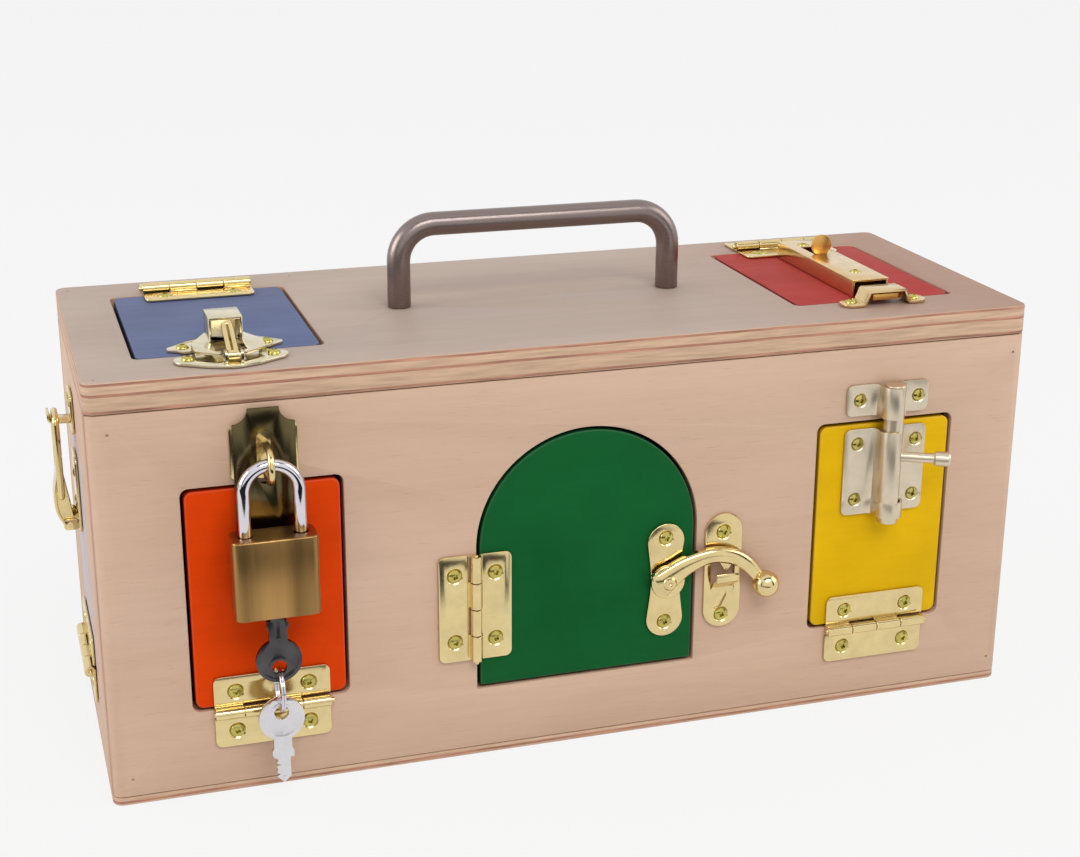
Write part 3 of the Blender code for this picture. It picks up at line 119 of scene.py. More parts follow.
X, Y, Z = range(3)
FACING_UP = Matrix.Identity(4)
FACING_FRONT = turn(90, "X")
FACING_LEFT = Matrix(((0, 0, -1, 0), (-1, 0, 0, 0), (0, 1, 0, 0), (0, 0, 0, 1)))
STAND_UP = turn(90, "X")
ALONG_X = turn(90, "Y")
QUARTER_TURN = turn(90, "Z")
HALF_TURN = turn(180, "Z")
TURN_OVER = turn(180, "Y")
MIRROR_Y = Matrix.Scale(-1, 4, (0, 1, 0))
CYCLE = Matrix(((0, 0, 1, 0), (1, 0, 0, 0), (0, 1, 0, 0), (0, 0, 0, 1)))


# Shader maths
class Signal:
    """A shader socket that adds a Math node when it is used in an expression."""

    def __init__(self, finish, socket):
        self.finish = finish
        self.socket = socket

    def __add__(self, other):
        return self.finish.math("ADD", self, other)

    def __radd__(self, other):
        return self.finish.math("ADD", other, self)

    def __sub__(self, other):
        return self.finish.math("SUBTRACT", self, other)

    def __rsub__(self, other):
        return self.finish.math("SUBTRACT", other, self)

    def __mul__(self, other):
        return self.finish.math("MULTIPLY", self, other)

    def __abs__(self):
        return self.finish.math("ABSOLUTE", self)


class Finish:
    """One material, or the world, while its nodes are being laid out."""

    def __init__(self, owner):
        owner.use_nodes = True
        self.owner = owner
        self.tree = owner.node_tree
        self.shader = self.tree.nodes.get("Principled BSDF")
        self.coordinates = self.tree.nodes.new("ShaderNodeTexCoord")

    def feed(self, node, inputs):
        for key, value in inputs.items():
            socket = node.inputs[key]
            if isinstance(value, Signal):
                self.tree.links.new(value.socket, socket)
            elif socket.type == "RGBA" and len(value) < 4:
                socket.default_value = (*value, 1)
            else:
                socket.default_value = value

    def node(self, kind, settings, inputs, output=0):
        """Adds a node: its settings first, then what its sockets take. Returns one of its outputs."""
        made = self.tree.nodes.new(kind)
        for key, value in settings.items():
            if key == "stops":
                self.set_stops(made.color_ramp, value)
            else:
                setattr(made, key, value)
        self.feed(made, inputs)
        return Signal(self, made.outputs[output])

    @staticmethod
    def set_stops(ramp, stops):
        while len(ramp.elements) < len(stops):
            ramp.elements.new(1)
        for element, (place, colour) in zip(ramp.elements, stops):
            element.position = place
            element.color = (*colour, 1)

    def math(self, operation, *values, clamp=False):
        settings = {"operation": operation, "use_clamp": clamp}
        return self.node("ShaderNodeMath", settings, dict(enumerate(values)))

    def ramp(self, value, low, high):
        """0 below low, 1 above high, and a straight climb between them."""
        inputs = {"Value": value, "From Min": low, "From Max": high}
        return self.node("ShaderNodeMapRange", {"clamp": True}, inputs)

    def mix(self, share, first, second, blend="MIX"):
        """Mixes two colours."""
        settings = {"data_type": "RGBA", "blend_type": blend}
        return self.node("ShaderNodeMix", settings, {0: share, 6: first, 7: second}, 2)

    def place(self, scale=(1, 1, 1)):
        """The point on the object, in metres, stretched by a scale."""
        here = Signal(self, self.coordinates.outputs["Object"])
        return self.node("ShaderNodeMapping", {}, {"Vector": here, "Scale": scale})

    def along(self, axis, stretch, across=1):
        """The point on the object, with another scale along one axis than across it."""
        return self.place(tuple(stretch if index == axis else across for index in range(3)))

    def axes(self, output="Object"):
        here = Signal(self, self.coordinates.outputs[output])
        return [self.node("ShaderNodeSeparateXYZ", {}, {0: here}, index) for index in range(3)]

    def noise(self, vector, scale, detail=3, roughness=0.5, distortion=0):
        inputs = {"Vector": vector, "Scale": scale, "Detail": detail,
                  "Roughness": roughness, "Distortion": distortion}
        return self.node("ShaderNodeTexNoise", {}, inputs)

    def bump(self, height, strength, distance):
        inputs = {"Height": height, "Strength": strength, "Distance": distance}
        return self.node("ShaderNodeBump", {}, inputs)

    def done(self, **sockets):
        """Feeds the Principled shader's sockets and returns the material."""
        self.feed(self.shader, {key.replace("_", " "): value for key, value in sockets.items()})
        return self.owner

    def cover(self, surface):
        """Puts another shader on the output."""
        output = next(node for node in self.tree.nodes if node.type.startswith("OUTPUT"))
        self.tree.links.new(surface.socket, output.inputs["Surface"])

    def seen_directly(self):
        """1 for what the camera, a mirror or glass sees, and 0 for what only gives light."""
        camera, mirror, glass = (self.node("ShaderNodeLightPath", {}, {}, "Is " + ray + " Ray")
                                 for ray in ("Camera", "Glossy", "Transmission"))
        return self.math("ADD", camera + mirror, glass, clamp=True)


def shade(colour, factor):
    return tuple(channel * factor for channel in colour)


# Finishes of this box
BIRCH_PALE = (0.630, 0.440, 0.325)
BIRCH_WARM = (0.565, 0.375, 0.265)
BIRCH_GREY = (0.485, 0.385, 0.325)
BIRCH_GREY_WARM = (0.425, 0.325, 0.270)
BIRCH_RIGHT_END = (0.385, 0.224, 0.160)
PLY_LIGHT = (0.640, 0.430, 0.290)
PLY_BROWN = (0.330, 0.160, 0.105)
DOOR_LILAC = (0.560, 0.480, 0.500)

# How much a texture is stretched along the grain or the brushing, as scales of its coordinates
GRAIN_STRETCH = 0.06
TONE_STRETCH = 0.35
PORE_STRETCH = 0.10
LINE_STRETCH = 0.012
LINE_SCALE = 2600
BROAD_STRETCH = 0.05
BROAD_SCALE = LINE_SCALE / 7
PLY_SCALE = 900
PLY_LENGTH_SCALE = 55

# Depths of relief, in metres, and the plies' edges
WOOD_RELIEF = 0.00022
PAINT_RELIEF = 0.00018
METAL_RELIEF = 0.0004
BRUSH_RELIEF = 0.00012
PLY_WANDER = 0.0007
PLY_BLUR = 0.0001
RIGHT_WARMTH_FROM_SHARE = 0.30
EDGE_WEAR = 0.07


def veneer(finish, grain_axis, pale, warm):
    """Birch face veneer: slow tone, long soft streaks and fine pores. Returns colour, pores and streaks."""
    stretched = finish.along(grain_axis, GRAIN_STRETCH)
    tone = finish.noise(finish.along(grain_axis, TONE_STRETCH), scale=14, detail=3, roughness=0.55,
                        distortion=0.6)
    streak = finish.noise(stretched, scale=260, detail=5, roughness=0.62, distortion=0.25)
    fine = finish.noise(stretched, scale=900, detail=2)
    pores = finish.noise(finish.along(grain_axis, PORE_STRETCH), scale=1500, detail=2, roughness=0.4)
    pores = finish.ramp(pores, 0.63, 0.74)
    colour = finish.mix(finish.ramp(tone, 0.30, 0.72), pale, warm)
    colour = finish.mix(finish.ramp(streak, 0.40, 0.78) * 0.20, colour, shade(warm, 0.80))
    colour = finish.mix(finish.ramp(fine, 0.45, 0.85) * 0.20, colour, shade(pale, 1.12))
    colour = finish.mix(pores * 0.12, colour, shade(warm, 0.62))
    return colour, pores, streak


def plywood(name, grain_axis, thick_axis, inner, plies, pale=BIRCH_PALE, warm=BIRCH_WARM, right_warmth=0):
    """Plywood: face veneer where a surface faces through the sheet, and stacked plies on its edges.

    plies is a list of brown plies, each as two distances outwards from the sheet's inner face.
    right_warmth is how much the sheet grows darker and warmer towards its right end.
    """
    finish = Finish(bpy.data.materials.new(name))
    colour, pores, streak = veneer(finish, grain_axis, pale, warm)
    if right_warmth:
        right = finish.ramp(finish.axes()[X], HALF_LENGTH * RIGHT_WARMTH_FROM_SHARE, HALF_LENGTH)
        colour = finish.mix(right * right_warmth, colour, BIRCH_RIGHT_END)
    wander = finish.noise(finish.place(), scale=35, detail=2) - 0.5
    depth = abs(finish.axes()[thick_axis]) - inner + wander * PLY_WANDER
    grey = finish.along(thick_axis, PLY_SCALE, PLY_LENGTH_SCALE)
    grey = finish.noise(grey, scale=1, detail=3, roughness=0.6)
    light = finish.mix(finish.ramp(grey, 0.35, 0.72), PLY_LIGHT, shade(PLY_LIGHT, 0.72))
    brown = finish.mix(finish.ramp(grey, 0.30, 0.75), shade(PLY_BROWN, 0.75), shade(PLY_BROWN, 1.9))
    stack = light
    for bottom, top in plies:
        inside = finish.ramp(depth, bottom - PLY_BLUR, bottom + PLY_BLUR)
        inside = inside * (1 - finish.ramp(depth, top - PLY_BLUR, top + PLY_BLUR))
        stack = finish.mix(inside, stack, brown)
    face = finish.ramp(abs(finish.axes("Normal")[thick_axis]), 0.25, 0.60)
    colour = finish.mix(face, stack, colour)
    rough = 0.50 + streak * 0.16
    height = streak * 0.4 - pores * 0.8 + grey * (1 - face) * 1.2
    normal = finish.bump(height, strength=0.35, distance=WOOD_RELIEF)
    return finish.done(Base_Color=colour, Roughness=rough, Normal=normal, Specular_IOR_Level=0.35)


def painted(name, colour, grain_axis, thick_axis):
    """Satin paint on plywood: grain shows through a little, edges are rubbed, and edge faces carry painted
    shade.
    """
    finish = Finish(bpy.data.materials.new(name))
    grain = finish.noise(finish.along(grain_axis, PORE_STRETCH), scale=420, detail=4, roughness=0.6)
    cloud = finish.noise(finish.place(), scale=40, detail=3)
    speck = finish.noise(finish.place(), scale=1600, detail=2, roughness=0.6)
    speck = finish.ramp(speck, 0.66, 0.78)
    base = finish.mix(finish.ramp(cloud, 0.3, 0.7), shade(colour, 0.92), shade(colour, 1.08))
    base = finish.mix(finish.ramp(grain, 0.45, 0.8) * 0.25, base, shade(colour, 0.78))
    facing = abs(finish.axes("Normal")[thick_axis])
    rim = finish.ramp(facing, 0.15, 0.5) * (1 - finish.ramp(facing, 0.90, 0.995))
    base = finish.mix(rim * EDGE_WEAR, base, tuple(0.35 + 0.5 * channel for channel in colour))
    # Painted shade: faces turned away from the board's face are darkened to 0.55 of the paint
    base = finish.mix(1 - finish.ramp(facing, 0.1, 0.45), base, shade(colour, 0.55))
    rough = 0.42 + grain * 0.18
    normal = finish.bump(grain * 0.8 + speck * 0.5, strength=0.22, distance=PAINT_RELIEF)
    return finish.done(Base_Color=base, Roughness=rough, Normal=normal, Specular_IOR_Level=0.04)


def polished(name, colour, roughness, mottle=0.10, scratch=0.22, waviness=0.30):
    """Bright stamped metal: cloudy tone, hairline scratches and a faintly uneven face."""
    finish = Finish(bpy.data.materials.new(name))
    cloud = finish.noise(finish.place(), scale=140, detail=3, roughness=0.6)
    hairline = finish.noise(finish.place((0.06, 1, 0.4)), scale=4200, detail=2)
    crossing = finish.noise(finish.place((1, 0.4, 0.05)), scale=3900, detail=2)
    marks = finish.ramp(hairline, 0.62, 0.78) + finish.ramp(crossing, 0.64, 0.80)
    tone = finish.mix(finish.ramp(cloud, 0.3, 0.75), shade(colour, 1.04), shade(colour, 1 - mottle))
    tone = finish.mix(marks * 0.18, tone, shade(colour, 0.78))
    rough = roughness + finish.ramp(cloud, 0.35, 0.8) * 0.06 + marks * scratch * 0.2
    wave = finish.noise(finish.place(), scale=75, detail=1, roughness=0.3)
    normal = finish.bump(wave + marks * 0.02, strength=waviness, distance=METAL_RELIEF)
    return finish.done(Base_Color=tone, Roughness=rough, Metallic=1.0, Normal=normal)


def brushed(name, colour, along_axis, roughness, depth, reflection_bands=None):
    """Metal with fine parallel lines along one axis.

    reflection_bands: X limits and (place, share) stops of painted reflections, broad stripes darkened and
    lightened.
    """
    finish = Finish(bpy.data.materials.new(name))
    lines = finish.noise(finish.along(along_axis, LINE_STRETCH), scale=LINE_SCALE, detail=3, roughness=0.65)
    broad = finish.noise(finish.along(along_axis, BROAD_STRETCH), scale=BROAD_SCALE, detail=2)
    cloud = finish.noise(finish.place(), scale=90, detail=2)
    tone = finish.mix(finish.ramp(lines, 0.35, 0.7), shade(colour, 0.93), shade(colour, 1.05))
    tone = finish.mix(finish.ramp(cloud, 0.35, 0.75) * 0.20, tone, shade(colour, 0.90))
    # Painted reflections: broad lit and dark stripes across X are multiplied into the colour
    if reflection_bands:
        limits, stops = reflection_bands
        across = finish.ramp(finish.axes()[X], *limits)
        stops = [(place, (share,) * 3) for place, share in stops]
        reflection_stripes = finish.node("ShaderNodeValToRGB", {"stops": stops}, {"Fac": across})
        tone = finish.mix(1.0, tone, reflection_stripes, "MULTIPLY")
    rough = roughness + (lines - 0.5) * 0.12 + (broad - 0.5) * 0.08
    normal = finish.bump(lines + broad * 0.5, strength=depth, distance=BRUSH_RELIEF)
    return finish.done(Base_Color=tone, Roughness=rough, Metallic=1.0, Normal=normal)


# Mesh tools
def to_mesh(bm):
    bmesh.ops.remove_doubles(bm, verts=bm.verts, dist=MERGE)
    bmesh.ops.recalc_face_normals(bm, faces=bm.faces)
    mesh = bpy.data.meshes.new("shape")
    bm.to_mesh(mesh)
    bm.free()
    return mesh


def loose(mesh):
    obj = bpy.data.objects.new("helper", mesh)
    bpy.context.scene.collection.objects.link(obj)
    return obj


def baked(obj, *helpers):
    """The object's mesh with its modifiers applied. The object and its helpers are removed."""
    bpy.context.view_layer.update()
    graph = bpy.context.evaluated_depsgraph_get()
    mesh = bpy.data.meshes.new_from_object(obj.evaluated_get(graph))
    for helper in (obj, *helpers):
        bpy.data.objects.remove(helper)
    return mesh


def combine(mesh, others, operation):
    for other in others:
        body = loose(mesh)
        tool = loose(other)
        modifier = body.modifiers.new("shape", "BOOLEAN")
        modifier.operation = operation
        modifier.solver = "EXACT"
        modifier.object = tool
        mesh = baked(body, tool)
    return mesh


def joined(mesh, *others):
    return combine(mesh, others, "UNION")


def cut(mesh, *cutters):
    return combine(mesh, cutters, "DIFFERENCE")


def gathered(*meshes):
    """Puts separate shells into one mesh, such as screw heads on their plate."""
    bm = bmesh.new()
    for mesh in meshes:
        bm.from_mesh(mesh)
    mesh = bpy.data.meshes.new("shape")
    bm.to_mesh(mesh)
    bm.free()
    return mesh


def moved(mesh, matrix):
    mesh.transform(matrix)
    if matrix.determinant() < 0:
        mesh.flip_normals()
    return mesh


def shifted(mesh, x=0, y=0, z=0):
    return moved(mesh, Matrix.Translation((x, y, z)))


def eased(mesh, width, segments=2, angle=35):
    """Rounds the sharp edges of a mesh."""
    body = loose(mesh)
    modifier = body.modifiers.new("ease", "BEVEL")
    modifier.width = width
    modifier.segments = segments
    modifier.limit_method = "ANGLE"
    modifier.angle_limit = math.radians(angle)
    modifier.miter_outer = "MITER_ARC"
    return baked(body)


# Outlines are lists of (x, y) points that run anticlockwise
def arc(centre_x, centre_y, radius, start, end, steps):
    points = []
    for step in range(steps + 1):
        angle = math.radians(start + (end - start) * step / steps)
        points.append((centre_x + radius * math.cos(angle), centre_y + radius * math.sin(angle)))
    return points


def circle(radius, steps=ROUND):
    return arc(0, 0, radius, 0, 360, steps)[:-1]


def both_sides(x, y):
    """A spot and its mirror image across X = 0."""
    return [(-x, y), (x, y)]


def rectangle(left, right, low, high, radius=0, steps=CORNER):
    if not radius:
        return [(left, low), (right, low), (right, high), (left, high)]
    points = arc(right - radius, low + radius, radius, -90, 0, steps)
    points += arc(right - radius, high - radius, radius, 0, 90, steps)
    points += arc(left + radius, high - radius, radius, 90, 180, steps)
    return points + arc(left + radius, low + radius, radius, 180, 270, steps)


def slab(outline, low, high):
    """An outline extruded from one height to another."""
    bm = bmesh.new()
    face = bm.faces.new([bm.verts.new((x, y, low)) for x, y in outline])
    extruded = bmesh.ops.extrude_face_region(bm, geom=[face])
    top = [item for item in extruded["geom"] if isinstance(item, bmesh.types.BMVert)]
    bmesh.ops.translate(bm, verts=top, vec=(0, 0, high - low))
    return to_mesh(bm)


def block(half, y_span, z_span, radius=0, steps=CORNER):
    """A block that is centred on X, with rounded upright edges."""
    return slab(rectangle(-half, half, *y_span, radius, steps), *z_span)


def rod(radius, low, high, steps=ROUND):
    return slab(circle(radius, steps), low, high)


def along_x(outline, low, high):
    """An outline of (y, z) points, extruded along X."""
    return moved(slab(outline, low, high), CYCLE)


def along_y(outline, low, high):
    """An outline of (x, z) points, extruded along Y."""
    return moved(slab(outline, -high, -low), STAND_UP)


def turned(profile, steps=ROUND):
    """A profile of (radius, height) points, from the foot up the outside, turned about Z."""
    bm = bmesh.new()
    verts = [bm.verts.new((radius, 0, height)) for radius, height in profile]
    edges = [bm.edges.new(pair) for pair in zip(verts, verts[1:])]
    bmesh.ops.spin(bm, geom=verts + edges, axis=(0, 0, 1), cent=(0, 0, 0),
                   angle=math.tau, steps=steps, use_duplicate=False)
    return to_mesh(bm)


def wire(points, radius, steps=WIRE_STEPS, closed=False):
    """A round bar that follows a path."""
    curve = bpy.data.curves.new("bar", "CURVE")
    curve.dimensions = "3D"
    spline = curve.splines.new("POLY")
    spline.points.add(len(points) - 1)
    for target, point in zip(spline.points, points):
        target.co = (*point, 1)
    spline.use_cyclic_u = closed
    curve.bevel_depth = radius
    curve.bevel_resolution = steps
    curve.use_fill_caps = not closed
    bm = bmesh.new()
    bm.from_mesh(baked(loose(curve)))
    return to_mesh(bm)


def sheet(centre_line, thickness):
    """The outline of a bent strip of sheet metal that follows a list of points."""
    left = []
    right = []
    for index, point in enumerate(centre_line):
        before = Vector(centre_line[max(index - 1, 0)])
        after = Vector(centre_line[min(index + 1, len(centre_line) - 1)])
        along = (after - before).normalized()
        across = Vector((-along.y, along.x)) * thickness / 2
        left.append(tuple(Vector(point) + across))
        right.append(tuple(Vector(point) - across))
    return right + left[::-1]


def curve_through(points, steps):
    """A smooth line through a few points."""
    ends = [2 * Vector(points[0]) - Vector(points[1])]
    ends += [Vector(point) for point in points]
    ends += [2 * Vector(points[-1]) - Vector(points[-2])]
    line = []
    for before, start, end, after in zip(ends, ends[1:], ends[2:], ends[3:]):
        for step in range(steps):
            t = step / steps
            cubic = (2 * start + (end - before) * t + (2 * before - 5 * start + 4 * end - after) * t ** 2
                     + (3 * start - before - 3 * end + after) * t ** 3) / 2
            line.append(tuple(cubic))
    return line + [tuple(points[-1])]


def at(place, facing=FACING_UP):
    return Matrix.Translation(place) @ facing


def show(name, mesh, seat, body, finish, node):
    """Puts a finished mesh in the scene, on the body that carries it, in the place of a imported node."""
    moved(mesh, seat)
    mesh.name = name
    mesh.materials.append(finish_named(finish))
    if any(face.material_index for face in mesh.polygons):
        mesh.materials.append(finish_named("zinc"))
    mesh.shade_smooth()
    mesh.set_sharp_from_angle(angle=math.radians(SMOOTH_ANGLE))
    obj = bpy.data.objects.new(name, mesh)
    bpy.context.scene.collection.objects.link(obj)
    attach(obj, body)
    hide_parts(node)


FINISHES = {}


def finish_named(name):
    if name not in FINISHES:
        FINISHES[name] = MAKERS[name]()
    return FINISHES[name]


# Screws
SCREW_RADIUS = 0.0026
SMALL_SCREW_RADIUS = 0.0023
TINY_SCREW_RADIUS = SMALL_SCREW_RADIUS * 0.8
SCREW_RISE = 0.0008
SINK_LIP = 0.0006
SINK_DEPTH = 0.0007
SINK_FOOT_SHARE = 0.85
SCREW_TWISTS = (20, 65, -15, 40)
PAN_RISE = 0.0014
PAN_TWIST = 30
PAN_TWIST_STEP = 50
HEAD_FOOT_SHARE = 0.80
DOME_SHARES = (0, 0.25, 0.5, 0.75, 0.92)
CROSS_SPAN_SHARE = 0.62
CROSS_TIP_SHARE = 0.45
CROSS_WIDTH = 0.0009
CROSS_DEPTH = 0.0012


def screw_head(radius, rise=SCREW_RISE, twist=0):
    """A domed head with a cross recess, its rim at height zero."""
    dome = [(0, -SINK_DEPTH), (radius * HEAD_FOOT_SHARE, -SINK_DEPTH), (radius, -SEAT)]
    for share in DOME_SHARES:
        lean = math.radians(90 * share)
        dome.append((radius * math.cos(lean), rise * math.sin(lean)))
    head = turned(dome + [(0, rise)])
    span = radius * CROSS_SPAN_SHARE
    half = CROSS_WIDTH / 2
    arms = []
    for wide, deep in ((span, half), (half, span)):
        arm = slab(rectangle(-wide, wide, -deep, deep), rise - CROSS_DEPTH, rise + OVERRUN)
        for vertex in arm.vertices:
            if vertex.co.z < rise:
                vertex.co.x *= CROSS_TIP_SHARE if wide > half else 1
                vertex.co.y *= CROSS_TIP_SHARE if deep > half else 1
        arms.append(arm)
    head = cut(head, *arms)
    head.polygons.foreach_set("material_index", [1] * len(head.polygons))
    return moved(head, turn(twist, "Z"))


def sink(radius, top):
    """The cutter for a countersunk seat in a plate whose face is at the given height."""
    wide = radius + SINK_LIP
    return turned([(0, top - SINK_DEPTH), (radius * SINK_FOOT_SHARE, top - SINK_DEPTH), (wide, top),
                   (wide, top + OVERRUN), (0, top + OVERRUN)])


def pan_heads(spots, height):
    """Screw heads that stand on a plate's face."""
    heads = []
    for index, (x, y) in enumerate(spots):
        head = screw_head(SMALL_SCREW_RADIUS, PAN_RISE, PAN_TWIST + index * PAN_TWIST_STEP)
        heads.append(shifted(head, x, y, height))
    return heads


def with_screws(plate, top, spots, radius=SCREW_RADIUS):
    """Sinks a plate at each spot and sets a screw there, each turned its own way."""
    plate = cut(plate, *[shifted(sink(radius, top), x, y) for x, y in spots])
    heads = []
    for index, (x, y) in enumerate(spots):
        twist = SCREW_TWISTS[index % len(SCREW_TWISTS)]
        heads.append(shifted(screw_head(radius, twist=twist), x, y, top - SEAT))
    return gathered(plate, *heads)


# Openings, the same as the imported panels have
SMALL_OPENING_WIDTH = 0.0575
SMALL_OPENING_HEIGHT = 0.0857
SMALL_OPENING_FOOT = 0.0333
SMALL_OPENING_RADIUS = 0.003
SMALL_OPENING_X = 0.1210
ARCH_RADIUS = 0.0436
ARCH_FOOT = 0.0274
ARCH_HEIGHT = 0.1001
TOP_OPENING_WIDTH = 0.068
TOP_OPENING_DEPTH = 0.089
TOP_OPENING_X = 0.1265
TOP_OPENING_Y = 0.0015
DOOR_GAP = 0.0013

# Nails in the panels: a small round hole, with the nail's head as its floor
NAIL_RADIUS = 0.00055
NAIL_DEPTH = 0.0006
NAIL_FOOT_SHARE = 0.9
FRONT_NAILS = ((-0.1726, 0.0101), (0.1747, 0.1413), (-0.1726, 0.1413), (0.1747, 0.0101))
TOP_NAILS = ((-0.1755, -0.0640), (-0.087, 0.0606), (0.1378, -0.0640), (0.148, 0.0636),
             (-0.1755, 0.0606), (0.1747, 0.0636))


def opening_outline(grow=0):
    half = SMALL_OPENING_WIDTH / 2 + grow
    return rectangle(-half, half, -grow, SMALL_OPENING_HEIGHT + grow, SMALL_OPENING_RADIUS)


def arch_outline(grow=0):
    radius = ARCH_RADIUS + grow
    foot = [(-radius, -grow), (radius, -grow)]
    return foot + arc(0, ARCH_HEIGHT - ARCH_RADIUS, radius, 0, 180, 2 * FINE)


def top_opening_outline(grow=0):
    half = TOP_OPENING_WIDTH / 2 + grow
    depth = TOP_OPENING_DEPTH / 2 + grow
    return rectangle(-half, half, -depth, depth, SMALL_OPENING_RADIUS)


def nail_hole():
    return turned([(0, -NAIL_DEPTH), (NAIL_RADIUS * NAIL_FOOT_SHARE, -NAIL_DEPTH), (NAIL_RADIUS, 0),
                   (NAIL_RADIUS, OVERRUN), (0, OVERRUN)], NAIL_STEPS)


def show_panel(name, mesh, finish):
    show(name + "_sheet", mesh, FACING_UP, "box", finish, name + "_panel")


def build_box():
    plan = rectangle(-HALF_LENGTH, HALF_LENGTH, -HALF_DEPTH, HALF_DEPTH, CORNER_RADIUS)
    show_panel("bottom", eased(slab(plan, 0, BOTTOM_THICKNESS), SOFT_EASE), "bottom_ply")

    through = (BOX_HEIGHT - TOP_THICKNESS - OVERRUN, BOX_HEIGHT + OVERRUN)
    cutters = []
    for side in (-1, 1):
        cutters.append(shifted(slab(top_opening_outline(), *through), side * TOP_OPENING_X, TOP_OPENING_Y))
        cutters.append(shifted(rod(HANDLE_SCREW_HOLE, *through), side * HANDLE_HALF))
    top = eased(cut(slab(plan, BOX_HEIGHT - TOP_THICKNESS, BOX_HEIGHT), *cutters), EDGE_EASE)
    nails = [shifted(nail_hole(), x, y, BOX_HEIGHT) for x, y in TOP_NAILS]
    show_panel("top", cut(top, *nails), "top_ply")

    middle_x = HALF_LENGTH - CORNER_RADIUS
    middle_y = -HALF_DEPTH + CORNER_RADIUS
    plan = arc(middle_x, middle_y, CORNER_RADIUS, -90, 0, CORNER)
    plan += [(HALF_LENGTH, -HALF_DEPTH + WALL), (-HALF_LENGTH, -HALF_DEPTH + WALL)]
    plan += arc(-middle_x, middle_y, CORNER_RADIUS, 180, 270, CORNER)
    show_panel("back", slab([(-x, -y) for x, y in plan], WALL_LOW, WALL_HIGH), "wall_ply")

    through = (HALF_DEPTH - WALL - OVERRUN, HALF_DEPTH + OVERRUN)
    cutters = []
    for side in (-1, 1):
        hole = moved(slab(opening_outline(), *through), STAND_UP)
        cutters.append(shifted(hole, side * SMALL_OPENING_X, 0, SMALL_OPENING_FOOT))
    cutters.append(shifted(moved(slab(arch_outline(), *through), STAND_UP), 0, 0, ARCH_FOOT))
    front = eased(cut(slab(plan, WALL_LOW, WALL_HIGH), *cutters), SOFT_EASE, angle=50)
    nails = [shifted(moved(nail_hole(), STAND_UP), x, -HALF_DEPTH, z) for x, z in FRONT_NAILS]
    show_panel("front", cut(front, *nails), "wall_ply")

    half = HALF_DEPTH - WALL - GAP
    through = (HALF_LENGTH - WALL - OVERRUN, HALF_LENGTH + OVERRUN)
    for name, side in (("left_side", -1), ("right_side", 1)):
        faces = sorted((side * (HALF_LENGTH - WALL), side * HALF_LENGTH))
        panel = slab(rectangle(*faces, -half, half), WALL_LOW, WALL_HIGH)
        if name == "left_side":
            hole = moved(slab(opening_outline(), *through), FACING_LEFT)
            panel = eased(cut(panel, shifted(hole, 0, 0, SMALL_OPENING_FOOT)), THIN_EASE, angle=50)
        show_panel(name, panel, "side_ply")


# Butt hinges
HINGE_LENGTH = 0.0425
LEAF_WIDTH = 0.014
LEAF_THICKNESS = 0.0009
LEAF_CORNER = 0.0025
LEAF_EDGE = 0.00022
KNUCKLE_RADIUS = 0.0021
PIN_RADIUS = 0.0009
PIN_PROUD = 0.0012
PIN_FOOT_SHARE = 0.8
PIN_CROWN_SHARE = 0.7
HINGE_SETBACK = 0.0008
HINGE_SCREW_SPACING = 0.0266
HINGE_SCREW_OFFSET = 0.0078
KNUCKLE_COUNT = 4
GREEN_HINGE_Z = 0.0615
JOINT_LINE = 0.00035
KNUCKLE_EASE_SHARE = 0.7


def hinge_seats():
    """Each door's pin lies along local X there, and the door reaches along local +Y."""
    lift = KNUCKLE_RADIUS + GAP
    face = -HALF_DEPTH - lift
    foot = SMALL_OPENING_FOOT - HINGE_SETBACK
    back = TOP_OPENING_Y + TOP_OPENING_DEPTH / 2 + HINGE_SETBACK
    above = BOX_HEIGHT + lift
    sideways = FACING_FRONT @ QUARTER_TURN.inverted()
    return {
        "orange": at((-SMALL_OPENING_X, face, foot), FACING_FRONT),
        "yellow": at((SMALL_OPENING_X, face, foot), FACING_FRONT),
        "green": at((-ARCH_RADIUS - HINGE_SETBACK, face, GREEN_HINGE_Z), sideways),
        "left": at((-HALF_LENGTH - lift, 0, foot), FACING_LEFT),
        "blue": at((-TOP_OPENING_X, back, above), HALF_TURN),
        "red": at((TOP_OPENING_X, back, above), HALF_TURN),
    }


def build_doors():
    """Each door's outer face lies just under its hinge pin."""
    surface = -KNUCKLE_RADIUS - GAP
    small = opening_outline(-DOOR_GAP)
    arch = [(GREEN_HINGE_Z - ARCH_FOOT - y, x + ARCH_RADIUS) for x, y in arch_outline(-DOOR_GAP)]
    top = top_opening_outline(-DOOR_GAP)
    middle = TOP_OPENING_DEPTH / 2
    seats = hinge_seats()
    doors = (("orange", small, 0), ("yellow", small, 0), ("left", small, 0), ("green", arch, 0),
             ("blue", top, middle), ("red", top, middle))
    for name, outline, reach in doors:
        board = shifted(slab(outline, surface - WALL, surface), 0, HINGE_SETBACK + reach)
        board = eased(board, EDGE_EASE, 3)
        slot, finish = ("birch", "side_door_ply") if name == "left" else (name + "_paint", name)
        show(name + "_door_board", board, seats[name], name + "_door", finish, name + "_door")


def rolled(radius, thickness, reach, low, high, lift):
    """One rolled knuckle along X, with the short tongue of sheet that it is rolled from."""
    under = lift - radius
    over = under + thickness
    start = math.degrees(math.asin(over / radius))
    end = 360 + math.degrees(math.asin(under / radius))
    outline = [(reach, over)] + arc(0, 0, radius, start, end, FINE) + [(reach, under)]
    return along_x(outline, low, high)


